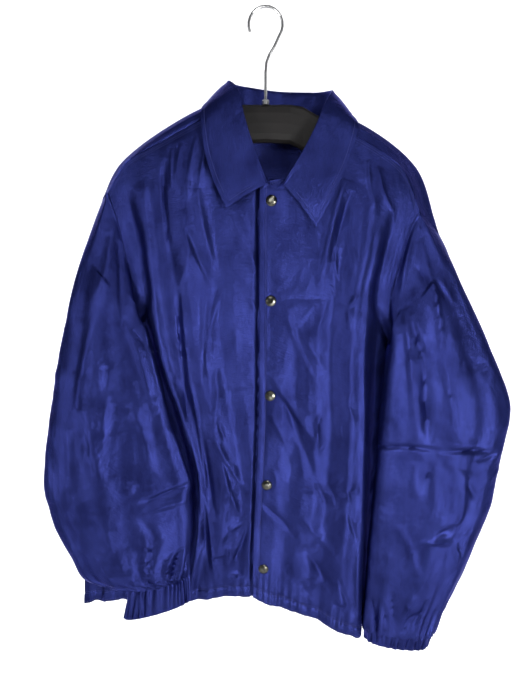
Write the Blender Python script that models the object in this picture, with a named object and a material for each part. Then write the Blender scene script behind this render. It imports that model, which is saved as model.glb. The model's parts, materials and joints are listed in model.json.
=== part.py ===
"""A coach jacket hung on a broad moulded hanger.

The origin is where a rod bears under the top of the hook. +Z is up, the jacket's
front faces -Y and +X is the wearer's left. Tables are in millimetres, and
everything that reaches a mesh is in metres.

The jacket has slid a little towards +X on the hanger, so its left side hangs lower
than its right one and each side has its own table of sections.
"""

import math
from collections import namedtuple

import bmesh
import bpy
import numpy as np
from mathutils import Vector
from mathutils.bvhtree import BVHTree

MM = 0.001

# Driving sizes, in millimetres.
CLOTH_WALL = 1.2
COLLAR_WALL = 1.5
SEAM_GAP = 0.3
FACET_ALLOWANCE = 0.5
SIDE_SEAM_STEP = 2.8
SHOULDER_SEAM_STEP = 2.4
ARMHOLE_SEAM_STEP = 0.9
PIT_STEP = 2.6
PIT_FORWARD = 8.0
PIT_TURN = math.radians(50)
CUFF_LEFT_SEAM_STEP = 1.1
CUFF_RIGHT_SEAM_STEP = 1.7
CUFF_GATHERS = 18
CUFF_GATHER_DEPTH = 1.7
SNAP_COUNT = 5
SNAP_SPACING = 130.3
SNAP_TOP_Z = -244.0
SNAP_DIAMETER = 14.5
SNAP_CAP_HEIGHT = 2.6
SNAP_SOCKET_DIAMETER = 11.0
SNAP_FROM_EDGE = 15.0
SNAP_CLEARANCE = 0.6
HOOK_WIRE = 4.0
HOOK_LOOP_RADIUS = 22.0
HOOK_STEM_FOOT_Z = -118.0
FERRULE_DIAMETER = 10.0
FERRULE_BORE = 4.6
FERRULE_HEIGHT = 6.0

# Grid sizes of the solids: columns go across or round, rows go up or along.
FRONT_COLUMNS = 20
FRONT_ROWS = 24
BACK_COLUMNS = 32
BACK_ROWS = 24
ARMHOLE_POINTS = 11
SLEEVE_ROWS = 22
CUFF_POINTS = 3 * CUFF_GATHERS
CUFF_ROWS = 3
COLLAR_COLUMNS = 36
COLLAR_ROWS = 9
HANGER_POINTS = 14
HANGER_STATIONS = 25
FERRULE_SIDES = 16

CLOTH_BLUE = (0.018, 0.028, 0.23)
METAL_GREY = (0.09, 0.085, 0.06)
PLASTIC_BLACK = (0.012, 0.011, 0.011)
STEEL = (0.55, 0.55, 0.55)

# One row for each section of a front, from the hem to the shoulder seam. The front's
# free edge (or neckline), its ridge fold, the turn behind the ridge and its side seam
# (or armhole) each have a place. A drop is the height above (+) or below (-) level.
FrontRow = namedtuple("FrontRow", "level edge_x edge_y ridge_x ridge_y ridge_drop "
                                  "turn_x turn_y side_x side_y side_drop")
FRONT_LEFT_ROWS = [
    FrontRow(-812, -18, -36, 134, -38, -62, 157, 5, 235, 30, -93),
    FrontRow(-735, -17, -37, 134, -42, -38, 157, 3, 240, 31, -65),
    FrontRow(-640, -13, -38, 135, -46, -25, 156, 0, 241, 31, -55),
    FrontRow(-545, -9, -39, 135, -46, -15, 157, 0, 236, 30, -52),
    FrontRow(-455, -8, -39, 132, -43, -8, 159, 0, 224, 26, -48),
    FrontRow(-365, -8, -38, 134, -38, -8, 156, -24, 172, -15, -20),
    FrontRow(-290, -8, -38, 142, -35, -28, 163, -25, 183, -16, -34),
    FrontRow(-226, -7, -38, 150, -31, -30, 176, -24, 196, -17, -49),
    FrontRow(-208, 55, -36, 156, -27, -14, 182, -22, 201, -18, -56),
    FrontRow(-148, 95, -15, 161, -19, -38, 184, -19, 205, -20, -109),
]
FRONT_RIGHT_ROWS = [
    FrontRow(-812, 28, -30, -118, -26, -12, -165, -4, -289, 31, -52),
    FrontRow(-735, 29, -31, -100, -34, -6, -125, -4, -284, 31, -28),
    FrontRow(-640, 32, -31, -92, -38, -2, -114, -4, -272, 31, -12),
    FrontRow(-545, 34, -31, -112, -40, 4, -134, -6, -256, 30, 2),
    FrontRow(-455, 35, -31, -140, -38, 8, -160, -8, -232, 26, 10),
    FrontRow(-365, 35, -31, -150, -35, 4, -167, -22, -181, -15, -8),
    FrontRow(-290, 35, -31, -155, -33, 2, -175, -22, -190, -18, -18),
    FrontRow(-226, 33, -31, -160, -29, -8, -182, -21, -198, -19, -42),
    FrontRow(-205, -15, -35, -160, -24, -10, -184, -21, -204, -19, -43),
    FrontRow(-127, -60, -14, -152, -17, -49, -183, -18, -209, -18, -105),
]
FRONT_PLACES = [0.0, 0.55, 0.68, 1.0]
TURN_SHARE = 0.3
PIT_ROW = 4

# One row for each section of the back below the chest. Its two sides hang from the
# fronts' side seams, and it bows out between them to the depth given here.
BackRow = namedtuple("BackRow", "level back_y")
BACK_ROWS_BELOW = [
    BackRow(-858, 45),
    BackRow(-763, 46),
    BackRow(-656, 47),
    BackRow(-552, 46),
    BackRow(-458, 44),
]
# The back's upper sections give each guide its place (x, y, z): the armhole edge, the
# shoulder's end, the neck point and the nape, then the same on the left.
YokeRow = namedtuple("YokeRow", "right_arm right_end right_neck right_nape nape "
                                "left_nape left_neck left_end left_arm")
BACK_ROWS_ABOVE = [
    YokeRow((-218, 22, -360), (-170, 36, -362), (-76, 41, -368), (-32, 42, -372), (12, 42, -374),
            (56, 42, -376), (94, 41, -378), (176, 37, -388), (214, 23, -402)),
    YokeRow((-221, 15, -295), (-180, 29, -285), (-72, 37, -280), (-34, 39, -284), (16, 39, -288),
            (62, 39, -290), (96, 37, -290), (184, 30, -300), (225, 19, -338)),
    YokeRow((-223, 9, -254), (-192, 19, -214), (-66, 17, -146), (-38, 33, -170), (17, 38, -184),
            (72, 33, -182), (97, 17, -166), (196, 19, -214), (235, 10, -296)),
    YokeRow((-222, 0, -240), (-198, 0.5, -196.5), (-61.5, 1, -115.5), (-43, 29, -134),
            (17.5, 37, -150), (77, 29, -146), (94, 1, -131), (203, 1, -196.5), (238, -1, -284)),
    YokeRow((-209, -18, -232), (-183, -18, -194), (-60, -14, -126), (-45, 26, -120),
            (18, 36, -127), (80, 26, -133), (95, -15, -147), (184, -19, -206), (205, -20, -256)),
]
ON_HANGER = [0, 1, 2, 6, 7, 8]
BACK_TOP_ROW = -3
SHOULDER_ROUNDING = 1.6
BACK_PLACES = [0.0, 0.12, 0.33, 0.4, 0.5, 0.6, 0.67, 0.88, 1.0]

# One row for each ring of a sleeve after the armhole: its inner and outer ends, the
# middle of its depth and half that depth.
SleeveRow = namedtuple("SleeveRow", "inner_x inner_z outer_x outer_z middle_y half_depth")
SLEEVE_LEFT_ROWS = [
    SleeveRow(170, -438, 263, -344, -17, 19),
    SleeveRow(165, -500, 308, -432, -17, 22),
    SleeveRow(162, -556, 348, -532, -17, 23),
    SleeveRow(161, -604, 339, -600, -17, 23),
    SleeveRow(157, -655, 333, -652, -18, 24),
    SleeveRow(153, -725, 312, -727, -19, 25),
    SleeveRow(150, -795, 283, -803, -20, 26),
    SleeveRow(149, -838, 263, -850, -20, 26),
    SleeveRow(151, -860, 254, -871, -20, 24),
]
SLEEVE_RIGHT_ROWS = [
    SleeveRow(-165, -412, -256, -342, -24, 19),
    SleeveRow(-149, -466, -276, -418, -29, 20),
    SleeveRow(-134, -530, -295, -512, -34, 21),
    SleeveRow(-118, -592, -309, -594, -37, 20),
    SleeveRow(-106, -640, -312, -632, -40, 20),
    SleeveRow(-105, -690, -302, -688, -44, 20),
    SleeveRow(-108, -728, -280, -735, -48, 21),
    SleeveRow(-110, -754, -255, -772, -52, 20),
    SleeveRow(-109, -766, -194, -786, -53, 17),
]
# The lower edge of each cuff: inner end, outer end, middle of the depth, half depth.
CUFF_LEFT_FOOT = SleeveRow(152, -889, 246, -902, -20, 20)
CUFF_RIGHT_FOOT = SleeveRow(-110, -804, -203, -832, -54, 15)

# One row for each station along the collar, from its wearer's-right front end round the
# back to its left one: the neck seam, the roll and the outer edge of the leaf.
CollarRow = namedtuple("CollarRow", "seam roll edge")
COLLAR_STATIONS = [
    CollarRow((10, -40, -227), (5, -46, -223), (-50, -50, -254)),
    CollarRow((-22, -40, -197), (-11, -42, -184), (-68, -47, -216)),
    CollarRow((-50, -30, -157), (-25, -29, -140), (-80, -38, -172)),
    CollarRow((-60, -14, -122), (-35, -12, -100), (-84, -23, -131)),
    CollarRow((-54, 8, -113), (-47, 8, -87), (-79, 14, -115)),
    CollarRow((-28, 28, -121), (-26, 34, -87), (-46, 50, -146)),
    CollarRow((18, 33, -124), (19, 42, -91), (19, 59, -157)),
    CollarRow((64, 30, -130), (65, 36, -94), (80, 52, -156)),
    CollarRow((90, 9, -127), (87, 10, -98), (114, 16, -132)),
    CollarRow((96, -14, -142), (76, -12, -119), (120, -25, -147)),
    CollarRow((84, -31, -178), (62, -29, -152), (108, -40, -190)),
    CollarRow((50, -40, -213), (40, -42, -193), (88, -48, -234)),
    CollarRow((14, -40, -228), (19, -46, -224), (65, -50, -278)),
]
COLLAR_ROLL_RADIUS = 3.0

# One row for each station from the hanger's middle to its end.
HangerRow = namedtuple("HangerRow", "x top height half_depth")
HANGER_STATIONS_TABLE = [
    HangerRow(0, -118, 48, 9),
    HangerRow(34, -118, 50, 9),
    HangerRow(44, -115.5, 58, 9),
    HangerRow(53, -124, 54, 7.5),
    HangerRow(72, -132, 52, 9),
    HangerRow(120, -159, 42, 10),
    HangerRow(160, -182, 34, 11),
    HangerRow(188, -199, 26, 10.5),
    HangerRow(198, -207, 14, 7),
]
HANGER_TIP_X = 200.0
HANGER_SECTION_POWER = 0.75
HANGER_DEEPEST = 16.0
HANGER_ALLOWANCE = 2.3

# One row for each large fold of a panel: where it lies across at its foot and its head
# (0 to 1), how far up it starts and ends (0 to 1), its width across and its depth in
# millimetres, a trough below zero and a ridge above.
Fold = namedtuple("Fold", "foot head start end width depth")
FRONT_LEFT_FOLDS = [
    Fold(0.14, 0.20, 0.00, 0.55, 0.13, -3.0),
    Fold(0.33, 0.40, 0.00, 0.88, 0.15, -4.5),
    Fold(0.45, 0.52, 0.05, 0.95, 0.12, 3.5),
    Fold(0.84, 0.84, 0.00, 0.42, 0.16, -5.0),
]
FRONT_RIGHT_FOLDS = [
    Fold(0.28, 0.26, 0.05, 0.90, 0.13, -4.0),
    Fold(0.40, 0.36, 0.10, 0.96, 0.12, 4.0),
    Fold(0.50, 0.50, 0.00, 0.92, 0.12, -5.0),
    Fold(0.86, 0.86, 0.00, 0.42, 0.16, -5.0),
]
BACK_FOLDS = [
    Fold(0.16, 0.20, 0.00, 0.66, 0.09, -6.0),
    Fold(0.31, 0.30, 0.00, 0.72, 0.10, 5.0),
    Fold(0.44, 0.40, 0.02, 0.60, 0.08, -5.0),
    Fold(0.57, 0.60, 0.00, 0.66, 0.09, 5.0),
    Fold(0.70, 0.70, 0.00, 0.72, 0.10, -6.0),
    Fold(0.85, 0.81, 0.00, 0.66, 0.09, -6.0),
]
SLEEVE_FOLDS = [
    Fold(0.20, 0.16, 0.10, 0.75, 0.10, -3.5),
    Fold(0.34, 0.30, 0.15, 0.98, 0.09, -4.0),
    Fold(0.66, 0.70, 0.12, 0.80, 0.10, -4.0),
    Fold(0.80, 0.84, 0.30, 0.98, 0.09, -3.5),
]


def clear_scene():
    for scene_object in list(bpy.data.objects):
        bpy.data.objects.remove(scene_object, do_unlink=True)


def make_material(name, colour, roughness, metallic):
    material = bpy.data.materials.new(name)
    material.use_nodes = True
    shader = material.node_tree.nodes["Principled BSDF"]
    shader.inputs["Base Color"].default_value = (*colour, 1.0)
    shader.inputs["Roughness"].default_value = roughness
    shader.inputs["Metallic"].default_value = metallic
    return material


def curve_through(places, values, at):
    """Cubic curve through the values at their places that doesn't overshoot them."""
    places = np.asarray(places, dtype=float)
    values = np.asarray(values, dtype=float)
    steps = np.diff(places).reshape((-1,) + (1,) * (values.ndim - 1))
    slopes = np.diff(values, axis=0) / steps
    same_way = slopes[:-1] * slopes[1:] > 0
    total = np.where(same_way, slopes[:-1] + slopes[1:], 1.0)
    inner = np.where(same_way, 2 * slopes[:-1] * slopes[1:] / total, 0.0)
    tangents = np.concatenate([slopes[:1], inner, slopes[-1:]])
    at = np.clip(np.asarray(at, dtype=float), places[0], places[-1])
    piece = np.clip(np.searchsorted(places, at, side="right") - 1, 0, len(places) - 2)
    shape = (-1,) + (1,) * (values.ndim - 1)
    length = (places[piece + 1] - places[piece]).reshape(shape)
    t = ((at - places[piece]) / (places[piece + 1] - places[piece])).reshape(shape)
    start = values[piece] * (2 * t**3 - 3 * t**2 + 1)
    end = values[piece + 1] * (3 * t**2 - 2 * t**3)
    leave = tangents[piece] * length * (t**3 - 2 * t**2 + t)
    arrive = tangents[piece + 1] * length * (t**3 - t**2)
    return start + end + leave + arrive


def patch_through(guides, places, rows, columns):
    """A grid of points over guides[row, guide, xyz], even along both ways."""
    along = np.linspace(0, len(guides) - 1, rows)
    lines = curve_through(np.arange(len(guides)), guides, along)
    across = curve_through(places, lines.transpose(1, 0, 2), np.linspace(0, 1, columns))
    return across.transpose(1, 0, 2)


def grid_normals(grid, round_shape):
    """Unit normals of a grid. A round grid closes on itself across its columns."""
    if round_shape:
        across = np.roll(grid, -1, axis=1) - np.roll(grid, 1, axis=1)
    else:
        across = np.gradient(grid, axis=1)
    along = np.gradient(grid, axis=0)
    normals = np.cross(across, along)
    return normals / np.linalg.norm(normals, axis=2, keepdims=True)


def soft_bump(distance):
    """1 at no distance, falling smoothly to 0 at a distance of 1."""
    return np.where(np.abs(distance) < 1, 0.5 + 0.5 * np.cos(np.pi * distance), 0.0)


def fold_depths(folds, rows, columns):
    """How far each grid point moves out for the folds, in millimetres."""
    up = np.linspace(0, 1, rows)[:, None]
    across = np.linspace(0, 1, columns)[None, :]
    depths = np.zeros((rows, columns))
    for fold in folds:
        along = np.clip((up - fold.start) / (fold.end - fold.start), 0, 1)
        middle = fold.foot + (fold.head - fold.foot) * along
        fade = np.clip(4 * (fold.end - up) / (fold.end - fold.start), 0, 1)
        inside = np.where(up < fold.start - 1e-6, 0.0, fade)
        depths += fold.depth * inside * soft_bump((across - middle) / (fold.width / 2))
    return depths


def with_folds(grid, folds, round_shape):
    rows, columns = grid.shape[:2]
    moved = fold_depths(folds, rows, columns)[:, :, None] * grid_normals(grid, round_shape)
    return grid + moved


def grid_faces(rows, columns, round_shape):
    cells = columns if round_shape else columns - 1
    faces = []
    for row in range(rows - 1):
        for column in range(cells):
            beside = (column + 1) % columns
            faces.append([row * columns + column, row * columns + beside,
                          (row + 1) * columns + beside, (row + 1) * columns + column])
    return faces


def kept_clear(grid, other, distance, deepest, other_round=False):
    """Moves points near another grid's outer face, or not far below it, out from it."""
    rows, columns = other.shape[:2]
    faces = grid_faces(rows, columns, other_round)
    tree = BVHTree.FromPolygons([Vector(point) for point in other.reshape(-1, 3)], faces)
    clear = grid.copy()
    for place in np.ndindex(*grid.shape[:2]):
        point = Vector(grid[place])
        nearest, normal, _, reach = tree.find_nearest(point)
        height = (point - nearest).dot(normal)
        if height < distance and (reach < distance or height < 0 and reach < deepest):
            clear[place] = point + normal * (distance - height)
    return clear


def shell_object(name, outer, wall, material, round_shape=False):
    """A closed wall of cloth between the outer grid and one set in from it."""
    inner = outer - wall * grid_normals(outer, round_shape)
    rows, columns = outer.shape[:2]
    points = np.concatenate([outer.reshape(-1, 3), inner.reshape(-1, 3)]) * MM
    below = rows * columns
    faces = grid_faces(rows, columns, round_shape)
    faces += [[below + corner for corner in reversed(face)] for face in faces]
    rims = [[row * columns + column for column in range(columns)] for row in (0, rows - 1)]
    if not round_shape:
        rims += [[row * columns + column for row in range(rows)] for column in (0, columns - 1)]
    for rim in rims:
        following = rim[1:] + rim[:1] if round_shape else rim[1:]
        for first, second in zip(rim, following):
            faces.append([first, second, below + second, below + first])
    return mesh_object(name, points, faces, material)


def mesh_object(name, points, faces, material):
    mesh = bpy.data.meshes.new(name)
    mesh.from_pydata([tuple(point) for point in points], [], faces)
    shape = bmesh.new()
    shape.from_mesh(mesh)
    bmesh.ops.recalc_face_normals(shape, faces=shape.faces)
    shape.to_mesh(mesh)
    shape.free()
    mesh.shade_smooth()
    mesh.set_sharp_from_angle(angle=math.radians(50))
    mesh.materials.append(material)
    scene_object = bpy.data.objects.new(name, mesh)
    bpy.context.collection.objects.link(scene_object)
    return scene_object


def front_guides(table):
    guides = []
    for row in table:
        turn_drop = row.ridge_drop + TURN_SHARE * (row.side_drop - row.ridge_drop)
        guides.append([
            (row.edge_x, row.edge_y, row.level),
            (row.ridge_x, row.ridge_y, row.level + row.ridge_drop),
            (row.turn_x, row.turn_y, row.level + turn_drop),
            (row.side_x, row.side_y, row.level + row.side_drop),
        ])
    return np.array(guides, dtype=float)


def back_guides():
    guides = []
    for number, row in enumerate(BACK_ROWS_BELOW):
        right = front_guides(FRONT_RIGHT_ROWS)[number, -1] + [0, SIDE_SEAM_STEP, 0]
        left = front_guides(FRONT_LEFT_ROWS)[number, -1] + [0, SIDE_SEAM_STEP, 0]
        section = []
        for place in BACK_PLACES:
            from_middle = abs(2 * place - 1)
            side = right if place < 0.5 else left
            x = right[0] + (left[0] - right[0]) * place
            y = row.back_y + (side[1] - row.back_y) * from_middle ** 3
            section.append((x, y, row.level + (side[2] - row.level) * from_middle))
        guides.append(section)
    yoke = np.array(BACK_ROWS_ABOVE, dtype=float)
    behind, top, seam = yoke[-3], yoke[-2], yoke[-1]
    over_back = behind + (top - behind) * [0.5, 0.3, 0.74]
    over_front = 0.5 * (top + seam)
    over_front[ON_HANGER, 2] += SHOULDER_ROUNDING
    rows = [*yoke[:-2], over_back, top, over_front, seam]
    return np.concatenate([np.array(guides), np.array(rows)])


def front_grid(table, folds):
    grid = patch_through(front_guides(table), FRONT_PLACES, FRONT_ROWS, FRONT_COLUMNS)
    if table[0].side_x < 0:
        return with_folds(grid[:, ::-1], [mirrored(fold) for fold in folds], False)
    return with_folds(grid, folds, False)


def mirrored(fold):
    return fold._replace(foot=1 - fold.foot, head=1 - fold.head)


def back_grid():
    """The back, its last row laid along the fronts' shoulder seams."""
    grid = patch_through(back_guides(), BACK_PLACES, BACK_ROWS, BACK_COLUMNS)
    for table in (FRONT_LEFT_ROWS, FRONT_RIGHT_ROWS):
        seam = patch_through(front_guides(table), FRONT_PLACES, FRONT_ROWS, FRONT_COLUMNS)[-1]
        outward = math.copysign(1, seam[-1, 0])
        along = np.gradient(seam[:, [0, 2]], axis=0)
        along /= np.linalg.norm(along, axis=1, keepdims=True)
        edge = seam.copy()
        edge[:, 0] -= outward * SHOULDER_SEAM_STEP * along[:, 1]
        edge[:, 2] += outward * SHOULDER_SEAM_STEP * along[:, 0]
        for point in grid[-1]:
            if outward * (point[0] - seam[0, 0]) > -1:
                reach = outward * point[0]
                point[1] = np.interp(reach, outward * edge[:, 0], edge[:, 1])
                point[2] = np.interp(reach, outward * edge[:, 0], edge[:, 2])
    grid = with_folds(grid[:, ::-1], [mirrored(fold) for fold in BACK_FOLDS], False)
    distance = CLOTH_WALL + SEAM_GAP + HANGER_ALLOWANCE
    return kept_clear(grid, hanger_grid(), distance, HANGER_DEEPEST, other_round=True)


def make_body(material):
    left = front_grid(FRONT_LEFT_ROWS, FRONT_LEFT_FOLDS)
    right = front_grid(FRONT_RIGHT_ROWS, FRONT_RIGHT_FOLDS)
    back = back_grid()
    shell_object("front_left", left, CLOTH_WALL, material)
    shell_object("front_right", right, CLOTH_WALL, material)
    shell_object("back", back, CLOTH_WALL, material)


def ring_points(row, count, inner_turn=0.0):
    """A flattened oval from the inner end round the front to the outer end and back.

    The inner turn moves the points near the inner end round towards the back.
    """
    turn = 2 * np.pi * np.arange(count) / count
    turn = turn - inner_turn * (0.5 + 0.5 * np.cos(turn))
    half = 0.5 * np.array([row.outer_x - row.inner_x, 0, row.outer_z - row.inner_z])
    middle = 0.5 * np.array([row.outer_x + row.inner_x, 2 * row.middle_y,
                             row.outer_z + row.inner_z])
    forward = np.array([0, -row.half_depth, 0])
    rounder = np.sign(np.sin(turn)) * np.abs(np.sin(turn)) ** 0.8
    return middle - np.cos(turn)[:, None] * half + rounder[:, None] * forward


def even_points(line, count):
    """Points evenly spaced along the smooth curve through a line's points."""
    length = np.concatenate([[0], np.cumsum(np.linalg.norm(np.diff(line, axis=0), axis=1))])
    return curve_through(length, line, np.linspace(0, length[-1], count))


def armhole_ring(table, left_side):
    """The seam's loop: from the pit up the front, over the shoulder, down the back."""
    front = front_guides(table)[PIT_ROW:, 3]
    back = back_guides()[PIT_ROW:, -1 if left_side else 0]
    over = np.concatenate([front[-1:], back[-2:BACK_TOP_ROW - 1:-1]])
    up = even_points(front, ARMHOLE_POINTS - 2)
    down = even_points(back[BACK_TOP_ROW::-1], ARMHOLE_POINTS)
    return np.concatenate([up[:-1], over[:-1], down[:-1]])


def sleeve_grid(table, front_table, left_side):
    seam = armhole_ring(front_table, left_side)
    count = len(seam)
    rings = [ring_points(row, count, PIT_TURN) for row in table]
    side = 1 if left_side else -1
    outward = rings[0] - seam
    length = np.linalg.norm(outward, axis=1)
    outward[:, 0] = side * np.maximum(side * outward[:, 0], 0.6 * length)
    outward /= np.linalg.norm(outward, axis=1, keepdims=True)
    pit = np.clip(1.5 * np.cos(2 * np.pi * np.arange(count) / count), 0, 1)[:, None]
    first = seam + ARMHOLE_SEAM_STEP * outward - PIT_STEP * pit * [0, 1, 0]
    second = 0.5 * (first + rings[0]) - PIT_FORWARD * pit * [0, 1, 0]
    guides = np.array([first, second] + rings)
    along = np.linspace(0, len(guides) - 1, SLEEVE_ROWS)
    grid = curve_through(np.arange(len(guides)), guides, along)
    if not left_side:
        grid = grid[:, ::-1]
    grid = with_folds(grid, SLEEVE_FOLDS, True)
    front_folds = FRONT_LEFT_FOLDS if left_side else FRONT_RIGHT_FOLDS
    distance = CLOTH_WALL + SEAM_GAP + FACET_ALLOWANCE
    front = front_grid(front_table, front_folds)
    for _ in range(3):
        grid = kept_clear(grid, front, distance, 3 * distance)
    return grid


def make_sleeves(material):
    for name, table, front_table, left_side in (
            ("sleeve_left", SLEEVE_LEFT_ROWS, FRONT_LEFT_ROWS, True),
            ("sleeve_right", SLEEVE_RIGHT_ROWS, FRONT_RIGHT_ROWS, False)):
        grid = sleeve_grid(table, front_table, left_side)
        shell_object(name, grid, CLOTH_WALL, material, round_shape=True)


def make_cuffs(material):
    for name, top, foot, step, left_side in (
            ("cuff_left", SLEEVE_LEFT_ROWS[-1], CUFF_LEFT_FOOT, CUFF_LEFT_SEAM_STEP, True),
            ("cuff_right", SLEEVE_RIGHT_ROWS[-1], CUFF_RIGHT_FOOT, CUFF_RIGHT_SEAM_STEP, False)):
        rings = []
        for share in np.linspace(0, 1, CUFF_ROWS + 1):
            row = SleeveRow(*(a + (b - a) * share for a, b in zip(top, foot)))
            ring = ring_points(row, CUFF_POINTS)
            rings.append(ring)
        grid = np.array(rings)
        down = grid[-1] - grid[0]
        down /= np.linalg.norm(down, axis=1, keepdims=True)
        grid[0] += step * down
        if not left_side:
            grid = grid[:, ::-1]
        wave = np.cos(2 * np.pi * CUFF_GATHERS * np.arange(CUFF_POINTS) / CUFF_POINTS)
        grid = grid + CUFF_GATHER_DEPTH * wave[None, :, None] * grid_normals(grid, True)
        shell_object(name, grid, CLOTH_WALL, material, round_shape=True)


def make_collar(material):
    """The stand rises from the neck seam, rolls over and falls as the leaf."""
    stations = np.array(COLLAR_STATIONS, dtype=float)
    at = np.linspace(0, len(stations) - 1, COLLAR_COLUMNS)
    lines = curve_through(np.arange(len(stations)), stations, at)
    seam, roll, edge = lines[:, 0], lines[:, 1], lines[:, 2]
    outward = edge - seam
    outward[:, 2] = 0
    outward /= np.linalg.norm(outward, axis=1, keepdims=True)
    rise = roll - seam
    rise /= np.linalg.norm(rise, axis=1, keepdims=True)
    top = roll + COLLAR_ROLL_RADIUS * outward
    across = np.array([
        seam + 0.4 * rise,
        seam + 0.5 * (roll - seam),
        roll - 0.7 * COLLAR_ROLL_RADIUS * rise,
        top + COLLAR_ROLL_RADIUS * rise * 0.5,
        top + COLLAR_ROLL_RADIUS * outward - 0.7 * COLLAR_ROLL_RADIUS * rise,
        0.5 * (top + edge) + 2.5 * outward,
        edge,
    ])
    rows = np.linspace(0, len(across) - 1, COLLAR_ROWS)
    grid = curve_through(np.arange(len(across)), across, rows)
    leaf = COLLAR_ROWS // 2
    distance = COLLAR_WALL + SEAM_GAP + FACET_ALLOWANCE
    grid[leaf:] = kept_clear(grid[leaf:], back_grid(), distance, distance)
    shell_object("collar", grid, COLLAR_WALL, material)


def front_surface_y(grid, x, z):
    """The outer face of a front's grid at a place near its edge."""
    points = grid.reshape(-1, 3)
    distance = np.hypot(points[:, 0] - x, points[:, 2] - z)
    near = np.argsort(distance)[:4]
    weight = 1 / (distance[near] + 0.1)
    return float(np.sum(points[near, 1] * weight) / np.sum(weight))


def turned_object(name, profile, sides, centre, material):
    """A disc turned about the Y axis from (radius, distance towards the front) pairs."""
    points = []
    for radius, forward in profile:
        for side in range(sides):
            angle = 2 * math.pi * side / sides
            points.append((centre[0] + radius * math.cos(angle), centre[1] - forward,
                           centre[2] + radius * math.sin(angle)))
    faces = [list(range(sides)), list(range(len(points) - sides, len(points)))]
    for ring in range(len(profile) - 1):
        for side in range(sides):
            beside = (side + 1) % sides
            faces.append([ring * sides + side, ring * sides + beside,
                          (ring + 1) * sides + beside, (ring + 1) * sides + side])
    return mesh_object(name, np.array(points) * MM, faces, material)


def make_snaps(metal):
    """Five snaps: a domed cap outside and the closed socket between the two fronts."""
    radius = SNAP_DIAMETER / 2
    socket_radius = SNAP_SOCKET_DIAMETER / 2
    over = front_grid(FRONT_LEFT_ROWS, FRONT_LEFT_FOLDS)
    under = front_grid(FRONT_RIGHT_ROWS, FRONT_RIGHT_FOLDS)
    centre_line = [(row.level, row.edge_x) for row in FRONT_LEFT_ROWS[:8]]
    levels, edges = np.array(centre_line, dtype=float).T
    for number in range(SNAP_COUNT):
        z = SNAP_TOP_Z - number * SNAP_SPACING
        x = float(curve_through(levels, edges, [z])[0]) + SNAP_FROM_EDGE
        y = front_surface_y(over, x, z)
        cap = [(radius * 0.86, 0.0), (radius, 0.35), (radius, 0.9), (radius * 0.8, 2.0),
               (radius * 0.45, SNAP_CAP_HEIGHT), (radius * 0.12, SNAP_CAP_HEIGHT + 0.1)]
        turned_object("snap_cap_%d" % (number + 1), cap, 20, (x, y - SNAP_CLEARANCE, z), metal)
        inside_y = front_surface_y(under, x, z) - SNAP_CLEARANCE
        depth = inside_y - (y + CLOTH_WALL + SNAP_CLEARANCE)
        socket = [(socket_radius * 0.8, 0.0), (socket_radius, 0.3 * depth),
                  (socket_radius, 0.7 * depth), (socket_radius * 0.7, depth)]
        turned_object("snap_socket_%d" % (number + 1), socket, 12, (x, inside_y, z), metal)


def hanger_grid():
    """Rings of the hanger's flattened round section from its right end to its left."""
    rows = np.array(HANGER_STATIONS_TABLE, dtype=float)
    half = np.linspace(0, rows[-1, 0], HANGER_STATIONS // 2 + 1)
    right = curve_through(rows[:, 0], rows, half)
    left = right[:0:-1].copy()
    left[:, 0] *= -1
    angle = 2 * np.pi * np.arange(HANGER_POINTS) / HANGER_POINTS
    side = np.sign(np.cos(angle)) * np.abs(np.cos(angle)) ** HANGER_SECTION_POWER
    rise = np.sign(np.sin(angle)) * np.abs(np.sin(angle)) ** HANGER_SECTION_POWER
    grid = []
    for x, top, height, half_depth in np.concatenate([left, right]):
        ring = [np.full(HANGER_POINTS, x), half_depth * side, top + height / 2 * (rise - 1)]
        grid.append(np.stack(ring, axis=1))
    return np.array(grid)


def make_hanger(plastic):
    grid = hanger_grid()
    ends = [grid[0].mean(axis=0), grid[-1].mean(axis=0)]
    ends[0][0] = -HANGER_TIP_X
    ends[1][0] = HANGER_TIP_X
    points = np.concatenate([grid.reshape(-1, 3), ends])
    faces = grid_faces(len(grid), HANGER_POINTS, True)
    last = (len(grid) - 1) * HANGER_POINTS
    for corner in range(HANGER_POINTS):
        beside = (corner + 1) % HANGER_POINTS
        faces.append([corner, beside, len(points) - 2])
        faces.append([last + corner, last + beside, len(points) - 1])
    mesh_object("hanger_body", points * MM, faces, plastic)


def make_ferrule(steel):
    """A plain ring round the hook's stem where it enters the hanger."""
    foot = HOOK_STEM_FOOT_Z
    top = foot + FERRULE_HEIGHT
    profile = [(FERRULE_BORE / 2, foot), (FERRULE_DIAMETER / 2, foot),
               (FERRULE_DIAMETER / 2, top - 1), (FERRULE_DIAMETER / 2 - 1, top),
               (FERRULE_BORE / 2, top)]
    angle = 2 * np.pi * np.arange(FERRULE_SIDES) / FERRULE_SIDES
    rings = [np.stack([radius * np.cos(angle), radius * np.sin(angle),
                       np.full(FERRULE_SIDES, z)], axis=1) for radius, z in profile]
    grid = np.array(rings + rings[:1])
    faces = grid_faces(len(grid), FERRULE_SIDES, True)
    count = len(profile) * FERRULE_SIDES
    faces = [[corner % count for corner in face] for face in faces]
    mesh_object("hanger_ferrule", np.concatenate(rings) * MM, faces, steel)


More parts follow.
